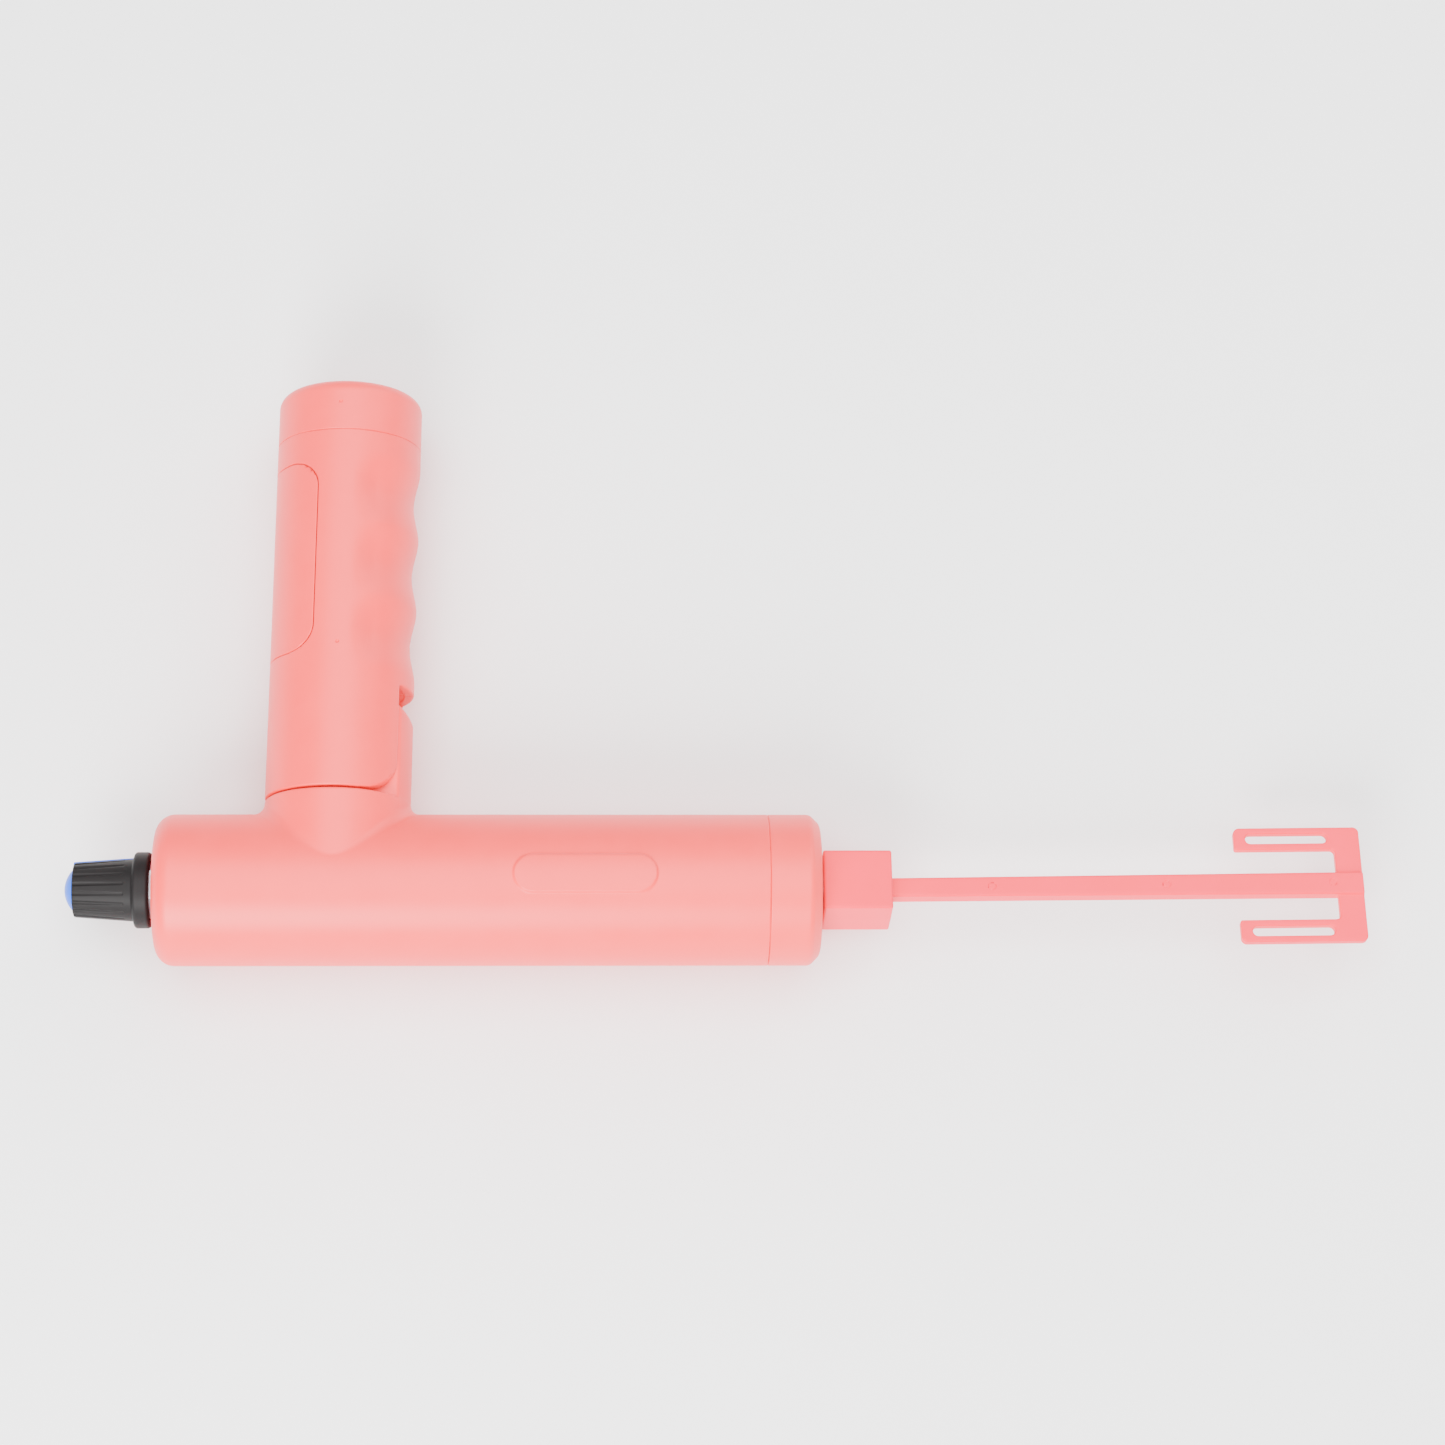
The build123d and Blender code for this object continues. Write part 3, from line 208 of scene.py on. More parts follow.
class Wire:  # a socket that adds Math nodes when it is used in an expression
    def __init__(self, shader, socket):
        self.shader, self.socket = shader, socket

    def math(self, operation, *values):
        return self.shader.node("ShaderNodeMath", {"operation": operation}, *values)

    def __add__(self, other):
        return self.math("ADD", self, other)

    def __sub__(self, other):
        return self.math("SUBTRACT", self, other)

    def __rsub__(self, other):
        return self.math("SUBTRACT", other, self)

    def __mul__(self, other):
        return self.math("MULTIPLY", self, other)

    def __truediv__(self, other):
        return self.math("DIVIDE", self, other)

    def __pow__(self, other):
        return self.math("POWER", self, other)

    __radd__ = __add__
    __rmul__ = __mul__


class Shader:
    def __init__(self, name, **constants):
        self.material = bpy.data.materials.new(name)
        self.material.use_nodes = True
        self.nodes = self.material.node_tree.nodes
        self.links = self.material.node_tree.links
        self.surface = self.nodes["Principled BSDF"]
        for socket, value in constants.items():
            self.feed(self.surface.inputs[socket.replace("_", " ")], value)

    def feed(self, socket, value):
        if isinstance(value, Wire):
            self.links.new(value.socket, socket)
        else:
            socket.default_value = value

    def node(self, kind, settings=None, *values, out=0, **named):
        made = self.nodes.new(kind)
        for key, value in (settings or {}).items():
            if key == "stops":
                ramp = made.color_ramp.elements
                ramp[0].position, ramp[1].position = value[0][0], value[-1][0]
                ramp[0].color, ramp[1].color = value[0][1], value[-1][1]
                for position, colour in value[1:-1]:
                    ramp.new(position).color = colour
            else:
                setattr(made, key, value)
        for index, value in enumerate(values):
            self.feed(made.inputs[index], value)
        byIdentifier = {socket.identifier: socket for socket in made.inputs}
        for key, value in named.items():
            self.feed(byIdentifier.get(key) or made.inputs[key.replace("_", " ")], value)
        return Wire(self, made.outputs[out])

    def place(self):
        return self.node("ShaderNodeTexCoord", out="Object")

    def noise(self, scale, detail=2.0, roughness=0.5, place=None, out=0):
        return self.node("ShaderNodeTexNoise", {"noise_dimensions": "3D"}, out=out,
                         Vector=place or self.place(), Scale=scale, Detail=detail, Roughness=roughness)

    def ramp(self, wire, low, high):  # 0 below low, 1 above high
        smooth = {"interpolation_type": "SMOOTHSTEP"}
        return self.node("ShaderNodeMapRange", smooth, wire, low, high, 0.0, 1.0)

    def tint(self, factor, first, second):
        return self.node("ShaderNodeMix", {"data_type": "RGBA"}, out=2, Factor=factor,
                         **{"A_Color": first, "B_Color": second})

    def bump(self, height, strength, distance):
        return self.node("ShaderNodeBump", None, Height=height, Strength=strength, Distance=distance)

    def put(self, **links):
        for socket, value in links.items():
            self.feed(self.surface.inputs[socket.replace("_", " ")], value)
        return self.material


def linear(red, green, blue):  # colour picked on a screen, 0 to 255
    tones = [(tone / 255 + 0.055) / 1.055 if tone > 10 else tone / 255 / 12.92 for tone in (red, green, blue)]
    return tuple(tone**2.4 if tone > 0.0032 else tone for tone in tones) + (1.0,)

# ---- materials

plasticLook = {
    "grainScale": 9000.0, "grainDepth": 0.000012,  # fine spark finish of the mould
    "waveScale": 160.0, "waveDepth": 0.00004,  # slow sink and flow marks
    "scuffScale": 700.0, "roughness": 0.42,
}


def mouldedPlastic(name, colour, deepColour, roughness=None, grain=1.0, gloss=0.5):
    look = plasticLook
    base = roughness or look["roughness"]
    shader = Shader(name, Specular_IOR_Level=gloss, IOR=1.5)
    place = shader.place()
    flow = shader.noise(look["waveScale"], 3.0, 0.55, place)
    grainField = shader.noise(look["grainScale"], 2.0, 0.6, place)
    scuff = shader.ramp(shader.noise(look["scuffScale"], 4.0, 0.65, place), 0.62, 0.8)
    tone = shader.ramp(flow, 0.25, 0.75) * 0.8 + grainField * 0.2
    body = shader.tint(tone, deepColour, colour)
    rough = base + (flow - 0.5) * 0.08 + (grainField - 0.5) * 0.1 + scuff * 0.07
    fine = shader.bump(grainField, 0.5 * grain, look["grainDepth"])
    bumps = shader.node("ShaderNodeBump", None, Height=flow, Strength=0.4, Normal=fine,
                        Distance=look["waveDepth"])
    return shader.put(Base_Color=body, Roughness=rough, Normal=bumps)


def turnedMetal(name, colour, deepColour, roughness, brush=(1.0, 1.0, 1.0)):
    shader = Shader(name, Metallic=1.0)
    stretched = shader.node("ShaderNodeVectorMath", {"operation": "MULTIPLY"}, shader.place(), brush)
    lines = shader.noise(2500.0, 3.0, 0.6, stretched)
    stain = shader.noise(220.0, 4.0, 0.6)
    rough = roughness + (lines - 0.5) * 0.22 + shader.ramp(stain, 0.55, 0.8) * 0.12
    return shader.put(Base_Color=shader.tint(stain, deepColour, colour), Roughness=rough,
                      Normal=shader.bump(lines, 0.3, 0.00002))


pinkShell = mouldedPlastic("pinkShell", (0.97, 0.04, 0.04, 1.0), (0.94, 0.034, 0.034, 1.0))
rosePlastic = mouldedPlastic("rosePlastic", (0.96, 0.008, 0.045, 1.0), (0.93, 0.006, 0.038, 1.0),
                             roughness=0.4, gloss=0.35)
charcoalPlastic = mouldedPlastic("charcoalPlastic", (0.009, 0.0078, 0.008, 1.0), (0.0065, 0.0057, 0.0058, 1.0),
                                 roughness=0.5, grain=1.4, gloss=0.15)
skyBluePlastic = mouldedPlastic("skyBluePlastic", (0.008, 0.11, 0.7, 1.0), (0.006, 0.095, 0.64, 1.0),
                                roughness=0.35, grain=0.4, gloss=0.2)
chassisPlastic = mouldedPlastic("chassisPlastic", linear(150, 152, 156), linear(138, 140, 145))
gearPlastic = mouldedPlastic("gearPlastic", linear(232, 228, 218), linear(222, 218, 205), roughness=0.35)
cellWrap = mouldedPlastic("cellWrap", linear(60, 140, 190), linear(50, 125, 178), roughness=0.25, grain=0.3)
wireJacket = mouldedPlastic("wireJacket", linear(190, 40, 40), linear(170, 32, 32), roughness=0.4)
groundSteel = turnedMetal("groundSteel", linear(205, 205, 208), linear(180, 180, 184), 0.25, (0.1, 1.0, 1.0))
zincSteel = turnedMetal("zincSteel", linear(214, 216, 220), linear(190, 193, 199), 0.32)
sinteredBronze = turnedMetal("sinteredBronze", linear(196, 156, 104), linear(166, 124, 78), 0.45)


def solderMask():
    shader = Shader("solderMask", Coat_Weight=0.4)
    place = shader.place()
    weave = shader.node("ShaderNodeTexChecker", None, Vector=place, Scale=2600.0, out=1)
    tracks = shader.ramp(shader.noise(900.0, 1.0, 0.2, place), 0.5, 0.53)
    body = shader.tint(tracks, linear(20, 96, 52), linear(34, 126, 70))
    rough = 0.32 + weave * 0.04
    return shader.put(Base_Color=body, Roughness=rough, Normal=shader.bump(tracks, 0.6, 0.00003))


materialOfSlot = {
    "pink_shell": pinkShell, "rose_plastic": rosePlastic, "charcoal_plastic": charcoalPlastic,
    "sky_blue_plastic": skyBluePlastic, "grey_chassis_plastic": chassisPlastic, "steel": groundSteel,
    "zinc_steel": zincSteel, "sintered_bronze": sinteredBronze, "acetal_gear": gearPlastic,
    "cell_wrap": cellWrap, "circuit_board": solderMask(), "lead_insulation": wireJacket,
}
for subpart in frame["record"]["subparts"]:
    mesh = frame["nodes"][subpart["node"]].data
    mesh.materials.clear()
    mesh.materials.append(materialOfSlot[subpart["material_slot"]])
print("stage: materials on the carried-over pieces")

# ---- camera, light and floor

camera = {"spot": (-0.045315, -0.17558, 0.7472), "tilt": 15.713, "pan": -2.394, "roll": 0.089, "lens": 96.16}
cameraData = bpy.data.cameras.new("camera")
cameraData.lens, cameraData.sensor_width = camera["lens"], 36.0
cameraData.clip_start, cameraData.clip_end = 0.01, 20.0
cameraObject = bpy.data.objects.new("camera", cameraData)
turned = (Matrix.Rotation(math.radians(camera["tilt"]), 4, "X")
          @ Matrix.Rotation(math.radians(camera["pan"]), 4, "Y")
          @ Matrix.Rotation(math.radians(camera["roll"]), 4, "Z"))
cameraObject.matrix_world = Matrix.Translation(camera["spot"]) @ turned
bpy.context.scene.collection.objects.link(cameraObject)
bpy.context.scene.camera = cameraObject

studio = {
    "key": {"spot": (-0.30, -0.75, 0.55), "size": 0.55, "power": 22.0},
    "top": {"spot": (-0.05, 0.10, 1.30), "size": 1.20, "power": 30.0},
    "rim": {"spot": (0.45, 0.60, 0.50), "size": 0.60, "power": 4.0},
    "sky": 1.3,
    "floor": 3.0,
}
aim = Vector((-0.045, 0.03, 0.0))
for name in ("key", "top", "rim"):
    light = bpy.data.lights.new(name, "AREA")
    light.energy, light.size = studio[name]["power"], studio[name]["size"]
    lamp = bpy.data.objects.new(name, light)
    lamp.location = studio[name]["spot"]
    lamp.rotation_euler = (aim - lamp.location).to_track_quat("-Z", "Y").to_euler()
    bpy.context.scene.collection.objects.link(lamp)
world = bpy.data.worlds.new("world")
world.use_nodes = True
world.node_tree.nodes["Background"].inputs["Color"].default_value = (1, 1, 1, 1)
world.node_tree.nodes["Background"].inputs["Strength"].default_value = studio["sky"]
bpy.context.scene.world = world


def addFloor():
    half = studio["floor"] / 2
    corners = [(-half, -half, 0), (half, -half, 0), (half, half, 0), (-half, half, 0)]
    mesh = bpy.data.meshes.new("floor")
    mesh.from_pydata(corners, [], [(0, 1, 2, 3)])
    floor = bpy.data.objects.new("floor", mesh)
    floor.location.z = floorHeight * mm
    bpy.context.scene.collection.objects.link(floor)
    shader = Shader("floorPaper", Roughness=0.8)
    fibre = shader.noise(60.0, 3.0)
    paper = shader.tint(fibre, (0.9, 0.9, 0.9, 1), (0.93, 0.93, 0.93, 1))
    mesh.materials.append(shader.put(Base_Color=paper))


addFloor()
print("stage: camera, light and floor")

# ---- barrel shells: tube, neck and knuckle split at the mid plane, with the label pad on the left shell

rake = math.radians(0.9)
gripUp = Vector((math.sin(rake), math.cos(rake), 0))
gripFront = Vector((math.cos(rake), -math.sin(rake), 0))
fold = {"behind": 5.094, "above": 24.9}  # from the grip's axis and the barrel's axis to the hinge pin
gripRoot = Vector((pivotX, pivotY, 0)) - gripFront * fold["behind"] - gripUp * fold["above"]
gripPlace = Matrix(((gripFront.x, gripUp.x, 0, gripRoot.x * mm), (gripFront.y, gripUp.y, 0, gripRoot.y * mm),
                    (0, 0, 1, 0), (0, 0, 0, 1)))
gripRadius = 14.5

barrel = {
    "rearRound": 3.8, "wall": 2.0, "rearWall": 2.2, "seamRound": 0.22,
    "spigotLength": 6.0, "spigotRadius": 14.0, "neckEdge": 0.35, "knuckleEdge": 0.5,
    "bossRadius": 2.6, "screwBore": 1.1,
    "neckTop": 17.45, "neckRound": 2.3, "knuckleRadius": 13.2, "knuckleBack": 8.0, "knuckleHalf": 7.75,
    "padLength": 28.2, "padWidth": 7.7, "padHeight": 0.4, "padX": -40.5,
    "hingeBore": 3.04, "controlBore": 3.55, "splitRound": 0.1,
    "screwX": barrelRear + 6.2, "screwY": 9.2, "screwHead": 2.15, "screwSeat": 8.0,
    "portX": barrelRear + 14.4, "portLength": 9.3, "portWidth": 3.6,
}


def gripSpace(x, y):
    dx, dy = x - gripRoot.x, y - gripRoot.y
    return dx * gripFront.x + dy * gripFront.y, dx * gripUp.x + dy * gripUp.y


def barrelField(side):
    b = barrel

    def field(x, y, z):
        z = z * side
        reach = np.hypot(y, z)
        s, t = gripSpace(x, y)
        tube = both(reach - barrelRadius, barrelRear - x, b["rearRound"])
        tube = both(tube, x - capSeam, b["seamRound"])
        neckSkin = np.hypot(s, z) - gripRadius
        neck = both(both(neckSkin, t - b["neckTop"], b["neckEdge"]), -t)
        facing = z**2 / np.maximum(reach * np.hypot(s, z), 1e-6)  # 1 where tube and neck run side by side
        body = either(tube, neck, b["neckRound"] * (1 - facing))
        disc = np.hypot(s - fold["behind"], t - fold["above"]) - b["knuckleRadius"]
        low = both(fold["behind"] - b["knuckleBack"] - s, t - fold["above"])
        rounded = both(disc, fold["behind"] - b["knuckleBack"] - s, b["knuckleEdge"])
        knuckle = either(rounded, both(low, neckSkin))
        knuckle = both(knuckle, neckSkin, b["knuckleEdge"])
        knuckle = both(knuckle, np.abs(z) - b["knuckleHalf"], b["knuckleEdge"])
        knuckle = both(knuckle, b["neckTop"] - 2 - t)
        body = either(body, knuckle, 0.2)
        if side > 0:
            pad = bar(x, y, (b["padX"], 0), b["padLength"], b["padWidth"])
            pad = both(both(pad, reach - barrelRadius - b["padHeight"], 0.38), -z)
            body = either(body, pad, 0.3)
        spigot = both(both(reach - b["spigotRadius"], x - capSeam - b["spigotLength"], 0.3), capSeam - 1 - x)
        body = either(body, spigot)
        body = without(body, both(reach - barrelRadius + b["wall"], barrelRear + b["rearWall"] - x))
        body = without(body, np.hypot(s - fold["behind"], t - fold["above"]) - b["hingeBore"], 0.2)
        body = without(body, both(reach - b["controlBore"], x - barrelRear - 5), 0.2)
        if side < 0:
            seat = np.hypot(x - b["screwX"], np.abs(y) - b["screwY"])
            boss = both(both(seat - b["bossRadius"], reach - barrelRadius + 0.4), -z)
            body = either(body, boss)
            body = without(body, both(seat - b["screwHead"], b["screwSeat"] - z), 0.15)
            body = without(body, both(seat - b["screwBore"], -z))
            port = bar(y, x, (0, b["portX"]), b["portLength"], b["portWidth"])
            body = without(body, both(port, -z), 0.2)
        return both(body, -z + 0.005, b["splitRound"])

    return field


def addBarrelShell(name, side):
    b = barrel
    neckX = gripRoot.x
    xMarks = [barrelRear, barrelRear + 2, capSeam - 0.1, capSeam, b["padX"] - 14.1, b["padX"] + 14.1,
              neckX - gripRadius, neckX + gripRadius, neckX + 2]
    yMarks = [b["neckTop"], -3.85, 3.85, barrelRadius, pivotY + b["knuckleRadius"]]
    zMarks = [0, 0.1, b["knuckleHalf"], barrelRadius, barrelRadius + 0.3]
    if side < 0:
        xMarks += [b["screwX"] - 2, b["screwX"] + 2, b["portX"] - 1.8, b["portX"] + 1.8]
        yMarks += [-b["screwY"], b["screwY"], -4.6, 4.6]
    depth = gridLines(-0.3, barrelRadius + 0.9, 0.7, 0.07, zMarks)
    if side < 0:
        depth = -depth[::-1]
    lines = (gridLines(barrelRear - 0.6, capSeam + 6.6, 0.8, 0.18, xMarks, 0.25),
             gridLines(-barrelRadius - 0.6, pivotY + 14, 0.7, 0.16, yMarks, 0.25), depth)
    finish(fieldMesh(name + "Skin", barrelField(side), lines), "housing", [name], pinkShell)


addBarrelShell("left_barrel_shell", 1)
addBarrelShell("right_barrel_shell", -1)

# ---- grip: tube with finger dents, window for the knuckle, and a seat for the palm panel

grip = {
    "bottom": 17.9, "top": 91.9, "wall": 2.2, "windowTop": 40.2, "windowHalf": 8.0, "cheekSwing": 7.0,
    "bulkhead": 2.0, "bossRadius": 6.5, "pinRadius": 2.0, "endRound": 0.35, "splitRound": 0.08,
    "dentLowest": 50.3, "dentPitch": 15.0, "dentDepth": 1.15, "dents": 3,
    "dentFull": 60.0, "dentEnd": 84.0,  # degrees round from the front
    "panelBottom": 45.8, "panelLength": 39.7, "panelSide": -5.29, "panelCorner": 5.5,
    "panelThickness": 1.1, "panelGap": 0.12, "panelRound": 0.22,
    "pits": ((47.2, -0.35), (97.7, -1.2)), "pitRadius": 0.32,
}


def panelOutline(s, t):
    g = grip
    top = g["panelBottom"] + g["panelLength"]
    return plate(s, t, (-3 * gripRadius, g["panelSide"], g["panelBottom"], top), g["panelCorner"])


def dentDepth(s, t, z):
    g = grip
    start = g["dentLowest"] - g["dentPitch"] / 2
    turn = (t - start) / g["dentPitch"]
    wave = np.where((turn > 0) & (turn < g["dents"]), 0.5 - 0.5 * np.cos(2 * np.pi * turn), 0)
    around = np.degrees(np.arctan2(np.abs(z), s))
    return g["dentDepth"] * wave**0.85 * (1 - smoothStep(around, g["dentFull"], g["dentEnd"]))


def pit(s, t, z, number):
    height, across = grip["pits"][number]
    return np.sqrt((s - across) ** 2 + (t - height) ** 2 + (z - gripRadius) ** 2) - grip["pitRadius"]


def gripField(side):
    g = grip

    def field(s, t, z):
        z = z * side
        reach = np.hypot(s, z)
        behind, above = s - fold["behind"], t - fold["above"]
        swing = np.hypot(behind, above)
        tube = both(reach - gripRadius + dentDepth(s, t, z), g["bottom"] - t, g["endRound"])
        tube = both(tube, t - g["top"], 0.2)
        corner = both(both(-behind, above), g["cheekSwing"] - swing)
        tube = without(tube, corner, 0.3)
        inside = reach - gripRadius + g["wall"]
        bulkhead = between(t, g["windowTop"], g["windowTop"] + g["bulkhead"])
        tube = without(tube, without(inside, bulkhead))
        boss = both(both(swing - g["bossRadius"], inside - 0.1), g["windowHalf"] - z)
        tube = either(tube, without(boss, swing - g["pinRadius"]))
        window = both(both(z - g["windowHalf"], t - g["windowTop"], 0.3), -s)
        tube = without(tube, window, 0.4)
        seat = both(panelOutline(s, t) - g["panelGap"], gripRadius - g["panelThickness"] - reach)
        tube = without(tube, seat, 0.12)
        if side > 0:
            tube = without(tube, pit(s, t, z, 0), 0.05)
        return both(tube, -z + 0.005, g["splitRound"])

    return field


def addGripShell(name, side):
    g = grip
    sMarks = [g["panelSide"], gripRadius, fold["behind"] + g["cheekSwing"], g["pits"][0][1]]
    panelTop = g["panelBottom"] + g["panelLength"]
    tMarks = [g["bottom"], g["top"], g["windowTop"], g["panelBottom"], panelTop, g["pits"][0][0]]
    zMarks = [0, 0.1, g["windowHalf"], gripRadius]
    depth = gridLines(-0.3, gripRadius + 0.5, 0.6, 0.07, zMarks)
    if side < 0:
        depth = -depth[::-1]
    lines = (gridLines(-gripRadius - 0.5, gripRadius + 0.5, 0.6, 0.14, sMarks, 0.25),
             gridLines(g["bottom"] - 0.5, g["top"] + 0.5, 0.7, 0.14, tMarks, 0.25), depth)
    skin = fieldMesh(name + "Skin", gripField(side), lines, gripPlace)
    finish(skin, "grip", [name], pinkShell)


addGripShell("left_grip_shell", 1)
addGripShell("right_grip_shell", -1)


def palmPanelField(s, t, z):
    g = grip
    reach = np.hypot(s, z)
    skin = both(panelOutline(s, t), reach - gripRadius, g["panelRound"])
    return both(skin, gripRadius - g["panelThickness"] + 0.03 - reach)


def addPalmPanel():
    g = grip
    top = g["panelBottom"] + g["panelLength"]
    lines = (gridLines(-gripRadius - 0.4, g["panelSide"] + 0.6, 0.5, 0.08, [g["panelSide"]], 0.2),
             gridLines(g["panelBottom"] - 0.4, top + 0.4, 0.6, 0.08, [g["panelBottom"], top], 0.2),
             gridLines(-gripRadius - 0.4, gripRadius + 0.4, 0.5, 0.14, [-13.5, 13.5], 0.3))
    skin = fieldMesh("palmPanelSkin", palmPanelField, lines, gripPlace)
    finish(skin, "grip", ["palm_panel"], pinkShell)


addPalmPanel()

endCap = {"length": 10.9, "edgeRound": 2.6, "seamRound": 0.22, "wall": 2.0, "spigot": 6.0}


def endCapField(s, t, z):
    e = endCap
    reach = np.hypot(s, z)
    top = grip["top"] + e["length"]
    body = both(both(reach - gripRadius, t - top, e["edgeRound"]), grip["top"] - t, e["seamRound"])
    body = either(body, both(reach - gripRadius + grip["wall"] + 0.05, grip["top"] - e["spigot"] - t))
    body = both(body, t - top)
    body = without(body, both(reach - gripRadius + grip["wall"] + e["wall"] + 0.05, t - top + e["wall"]))
    return without(body, pit(s, t, z, 1), 0.05)


def addEndCap():
    e = endCap
    top = grip["top"] + e["length"]
    lines = (gridLines(-gripRadius - 0.5, gripRadius + 0.5, 0.55, 0.12, [grip["pits"][1][1]], 0.3),
             gridLines(grip["top"] - e["spigot"] - 0.5, top + 0.5, 0.5, 0.08,
                       [grip["top"], grip["pits"][1][0]], 0.2),
             gridLines(-gripRadius - 0.5, gripRadius + 0.5, 0.55, 0.12, [gripRadius], 0.3))
    skin = fieldMesh("gripEndCapSkin", endCapField, lines, gripPlace)
    finish(skin, "grip", ["grip_end_cap"], pinkShell)


addEndCap()

# ---- nose cap

noseCap = {
    "chamfer": 2.0, "edgeRound": 0.45, "seamRound": 0.22, "frontWall": 2.2,
    "skirtBore": 14.05, "bushBore": 3.84,
}


def noseCapField(x, y, z):
    c = noseCap
    reach = np.hypot(y, z)
    bevel = (reach - barrelRadius + x - noseFront + c["chamfer"]) * math.sqrt(0.5)
    body = both(both(reach - barrelRadius, bevel, c["edgeRound"]), x - noseFront, c["edgeRound"])
    body = both(body, capSeam - x, c["seamRound"])
    body = without(body, both(reach - c["skirtBore"], x - noseFront + c["frontWall"]))
    return without(body, reach - c["bushBore"], 0.25)


def addNoseCap():
    across = gridLines(-barrelRadius - 0.5, barrelRadius + 0.5, 0.6, 0.3, [0], 0.1)
    marks = [capSeam, noseFront - noseCap["chamfer"], noseFront]
    lines = (gridLines(capSeam - 0.4, noseFront + 0.4, 0.4, 0.07, marks, 0.2), across, across)
    finish(fieldMesh("noseCapSkin", noseCapField, lines), "housing", ["nose_cap"], pinkShell)


addNoseCap()
print("stage: shells")

# ---- winding fork: drafted block on the hub, tapering arm and the slotted two-prong head, one moulding

fork = {
    "turn": 8.0, "lean": 0.65,  # degrees: round the spindle, and of the arm out of line with its block
    "blockSide": 12.5, "blockStart": 6.6, "blockEnd": 20.2, "draft": 0.8, "blockRound": 0.45,
    "socketFlats": 7.1, "socketEnd": 18.6,
    "armStart": (4.0, 3.5), "armEnd": (4.7, 3.0), "armRoot": 19.85, "armRound": 0.45, "rootFillet": 0.5,
    "reach": 115.2, "bar": 5.2, "headWidth": 24.4, "plate": 1.8, "prong": 4.7, "prongLength": 25.4,
    "corner": 1.2, "innerCorner": 0.9, "edgeRound": 0.3,
    "slotWidth": 2.1, "slotTip": 2.35, "slotRoot": 1.35,
    "ringSpots": ((40.5, 0), (75.5, 0), (109.0, 0.2), (109.0, -8.6)), "ringRadius": 0.75, "ringDepth": 0.07,
}
turn = math.radians(fork["turn"])
forkPlace = Matrix(((1, 0, 0, 0), (0, math.cos(turn), math.sin(turn), 0),
                    (0, -math.sin(turn), math.cos(turn), 0), (0, 0, 0, 1)))


def forkField(u, v, w):
    f = fork
    loss = math.tan(math.radians(f["draft"]))
    half = f["blockSide"] / 2
    block = both(np.abs(v) - half + np.abs(w) * loss, np.abs(w) - half, f["blockRound"])
    block = both(block, between(u, f["blockStart"], f["blockEnd"]), f["blockRound"])
    lean = math.radians(f["lean"])
    x = f["armRoot"] + (u - f["armRoot"]) * math.cos(lean) + v * math.sin(lean)
    y = v * math.cos(lean) - (u - f["armRoot"]) * math.sin(lean)
    share = (x - f["armRoot"]) / (f["reach"] - f["armRoot"])
    width = f["armStart"][0] + (f["armEnd"][0] - f["armStart"][0]) * share
    thick = f["armStart"][1] + (f["armEnd"][1] - f["armStart"][1]) * share
    arm = both(np.abs(y) - width / 2, np.abs(w) - thick / 2, f["armRound"])
    arm = both(both(arm, x - f["reach"], f["edgeRound"]), f["armRoot"] - 1 - x)
    for spot in f["ringSpots"]:
        level = np.where(np.abs(spot[1]) < 1, thick / 2, f["plate"] / 2)
        ring = np.hypot(np.hypot(x - spot[0], y - spot[1]) - f["ringRadius"], w - level) - f["ringDepth"]
        arm = without(arm, ring, 0.03)
    tip = f["reach"] - f["prongLength"]
    root = f["reach"] - f["bar"]
    outline = plate(x, y, (tip, f["reach"], -f["headWidth"] / 2, f["headWidth"] / 2), f["corner"])
    inner = f["headWidth"] / 2 - f["prong"]
    gap = plate(x, y, (tip - 20, root, -inner, inner), f["innerCorner"])
    outline = both(outline, -gap, 0.5)
    slotStart, slotEnd = tip + f["slotTip"], root - f["slotRoot"]
    slots = bar(x, np.abs(y), ((slotStart + slotEnd) / 2, f["headWidth"] / 2 - f["prong"] / 2),
                slotEnd - slotStart, f["slotWidth"])
    head = both(without(outline, slots), np.abs(w) - f["plate"] / 2, f["edgeRound"])
    body = either(either(block, arm, f["rootFillet"]), head, 0.25)
    slant = math.sqrt(0.75)  # sides of the hexagon, 60 degrees apart
    sides = np.maximum(np.abs(v * 0.5 + w * slant), np.abs(v * 0.5 - w * slant))
    socket = np.maximum(np.abs(v), sides)
    return without(body, both(socket - f["socketFlats"] / 2, u - f["socketEnd"]), 0.15)


def addFork():
    f = fork
    half = f["headWidth"] / 2
    tip = f["reach"] - f["prongLength"]
    root = f["reach"] - f["bar"]
    lines = (gridLines(f["blockStart"] - 0.4, f["reach"] + 0.4, 0.6, 0.09,
                       [f["blockStart"], f["blockEnd"], tip, root, f["reach"],
                        tip + f["slotTip"], root - f["slotRoot"]]
                       + [spot[0] for spot in f["ringSpots"]], 0.15),
             gridLines(-half - 0.6, half + 1.6, 0.3, 0.1,
                       [-half + 1, half + 1, 0, -half + f["prong"] + 1, half - f["prong"] + 1], 0.15),
             gridLines(-6.7, 6.7, 0.3, 0.07, [-1.6, -0.9, 0.9, 1.6, -6.25, 6.25], 0.25))
    skin = fieldMesh("windingForkSkin", forkField, lines, forkPlace)
    finish(skin, "fork", ["winding_fork"], rosePlastic)


addFork()

# ---- speed knob and its cap

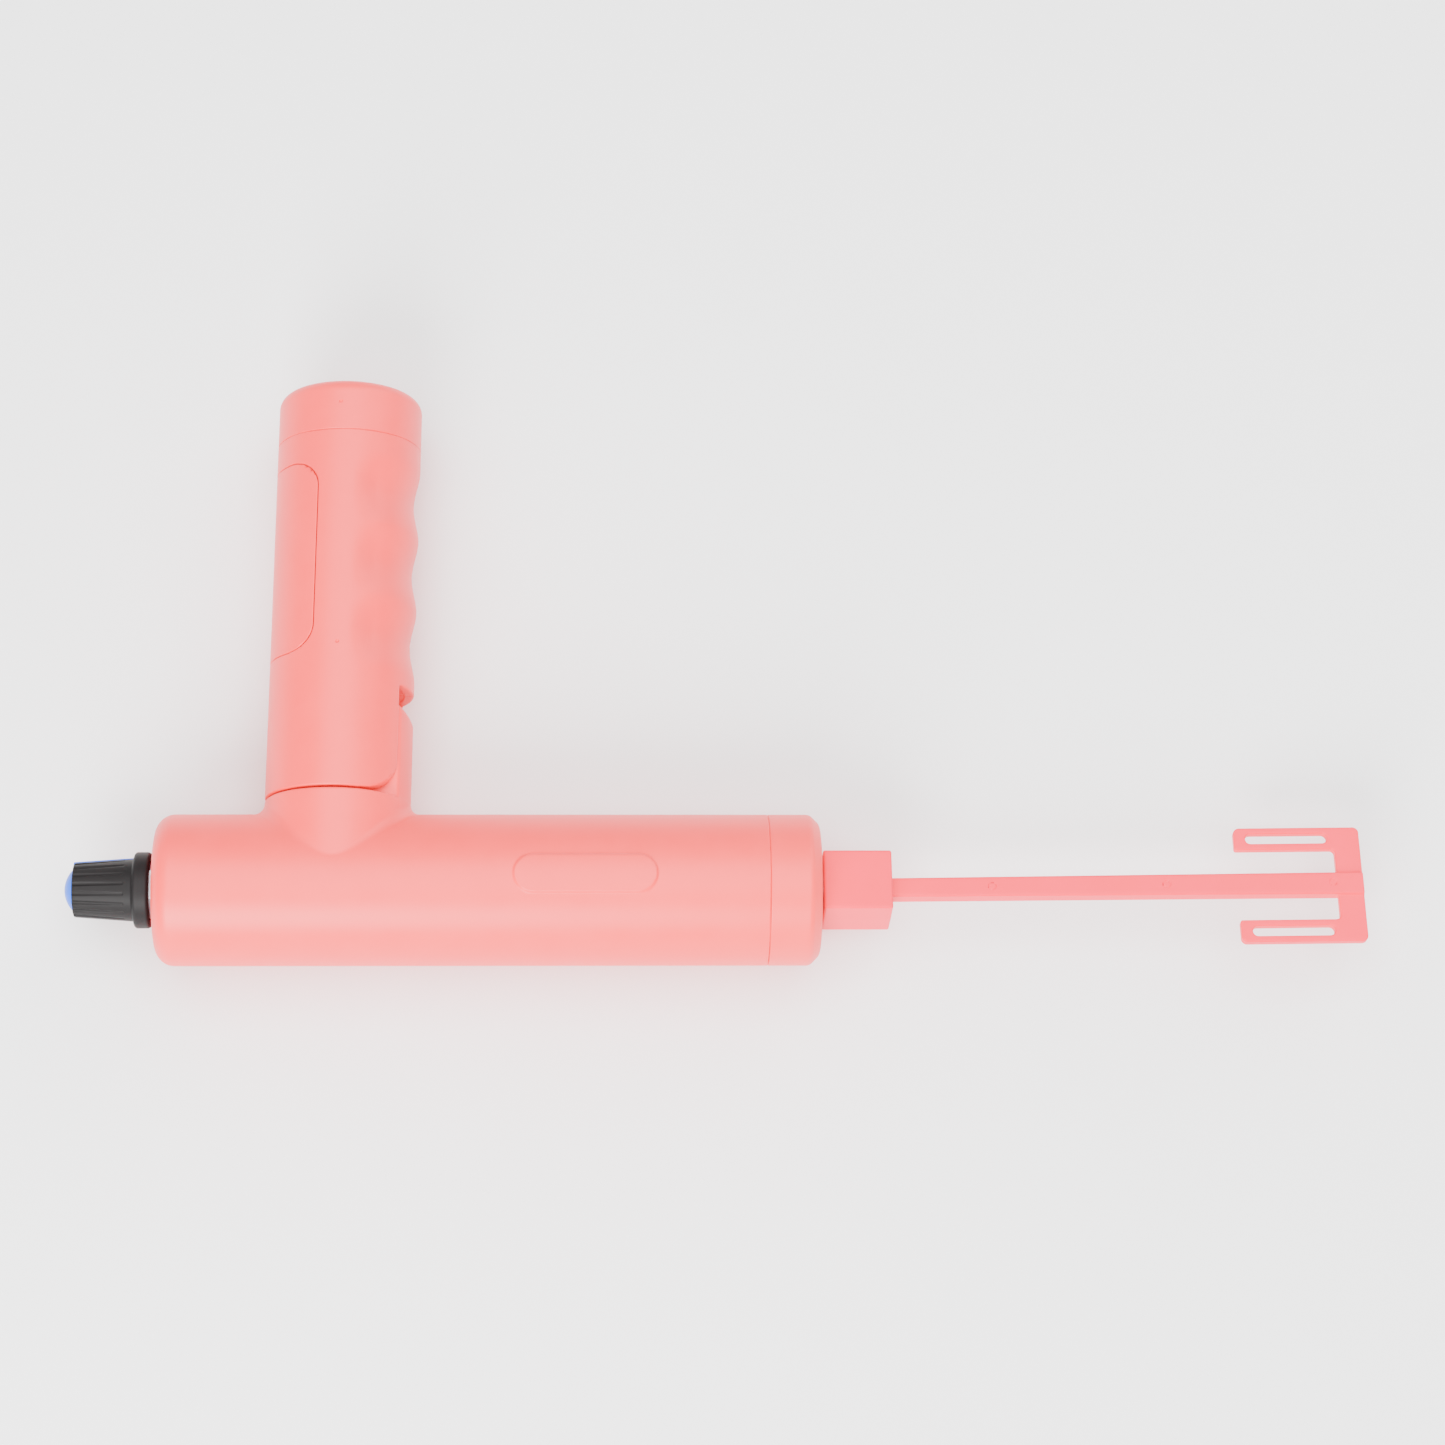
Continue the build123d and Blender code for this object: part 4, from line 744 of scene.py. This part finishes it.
knob = {
    "back": barrelRear - 0.9, "length": 15.2, "skirtRadius": 7.55, "skirtLength": 3.3, "skirtRound": 0.7,
    "baseRadius": 6.2, "tipRadius": 5.35, "tipRound": 0.3,
    "flutes": 18, "fluteRadius": 0.5, "fluteLength": 10.2,
    "hollowRadius": 6.3, "hollowDepth": 2.9, "threadBore": 3.9, "threadDepth": 4.5,
    "shaftBore": 3.0, "shaftDepth": 11.0,
    "capRadius": 4.3, "capDepth": 1.0, "capDome": 1.9,
    "pointerHalf": 0.65, "pointerProud": 0.25, "pointerDepth": 0.7,
}
knobTip = knob["back"] - knob["length"]


def knobReach(x):
    k = knob
    share = (k["back"] - k["skirtLength"] - x) / (k["length"] - k["skirtLength"])
    return k["baseRadius"] + (k["tipRadius"] - k["baseRadius"]) * share


def knobCapField(x, y, z):
    k = knob
    reach = np.hypot(y, z)
    bend = (k["capRadius"] ** 2 + k["capDome"] ** 2) / (2 * k["capDome"])
    ball = np.hypot(x - knobTip + k["capDome"] - bend, reach) - bend
    dome = both(both(ball, reach - k["capRadius"], 0.08), x - knobTip - k["capDepth"])
    across = np.abs(z) - k["pointerHalf"]
    side = both(both(y - knobReach(x) - k["pointerProud"], across, 0.2), knobReach(x) - k["pointerDepth"] - y)
    side = both(side, between(x, knobTip - k["pointerProud"], k["back"] - k["skirtLength"] - 0.02), 0.15)
    front = both(between(x, knobTip - k["pointerProud"], knobTip + k["capDepth"]), across, 0.15)
    front = both(front, between(y, k["capRadius"] - k["pointerDepth"], k["tipRadius"] + 0.1))
    return either(either(side, front), dome, 0.05)


def knobField(x, y, z):
    k = knob
    reach = np.hypot(y, z)
    rim = between(x, k["back"] - k["skirtLength"], k["back"])
    skirt = both(reach - k["skirtRadius"], rim, k["skirtRound"])
    body = both(both(reach - knobReach(x), knobTip - x, k["tipRound"]), x - k["back"] + 0.5)
    spread = 2 * np.pi / k["flutes"]
    turned = np.mod(np.arctan2(z, y), spread) - spread / 2
    along = (x - knobTip) / k["fluteLength"]
    out = knobReach(x) + k["fluteRadius"] * (0.45 + 0.35 * along)
    flute = np.hypot(reach * np.cos(turned) - out, reach * np.sin(turned)) - k["fluteRadius"]
    body = without(body, both(flute, along * k["fluteLength"] - k["fluteLength"], 0.15), 0.08)
    body = either(body, skirt, 0.35)
    body = without(body, both(reach - k["hollowRadius"], k["back"] - k["hollowDepth"] - x), 0.15)
    body = without(body, both(reach - k["threadBore"], k["back"] - k["threadDepth"] - x))
    body = without(body, both(reach - k["shaftBore"], k["back"] - k["shaftDepth"] - x))
    return without(body, knobCapField(x, y, z), 0.04)


def addKnob():
    k = knob
    outer = k["skirtRadius"] + 0.4
    across = gridLines(-outer, outer, 0.16, 0.1, [-6.3, 6.3, -0.6, 0.6], 0.1)
    lines = (gridLines(knobTip - 0.4, k["back"] + 0.4, 0.35, 0.07,
                       [knobTip, k["back"] - k["skirtLength"], k["back"], knobTip + k["fluteLength"]], 0.2),
             across, across)
    skin = fieldMesh("speedKnobSkin", knobField, lines)
    finish(skin, "knob", ["speed_knob"], charcoalPlastic)
    across = gridLines(-6.7, 6.7, 0.2, 0.08, [-4.3, 4.3, -0.65, 0.65], 0.15)
    lines = (gridLines(knobTip - 2.2, k["back"] - k["skirtLength"] + 0.3, 0.3, 0.07,
                       [knobTip - 0.25, knobTip - 1.9, knobTip, knobTip + 1], 0.2), across, across)
    skin = fieldMesh("knobCapSkin", knobCapField, lines)
    finish(skin, "knob", ["knob_cap"], skyBluePlastic)


addKnob()
print("stage: fork and knob")
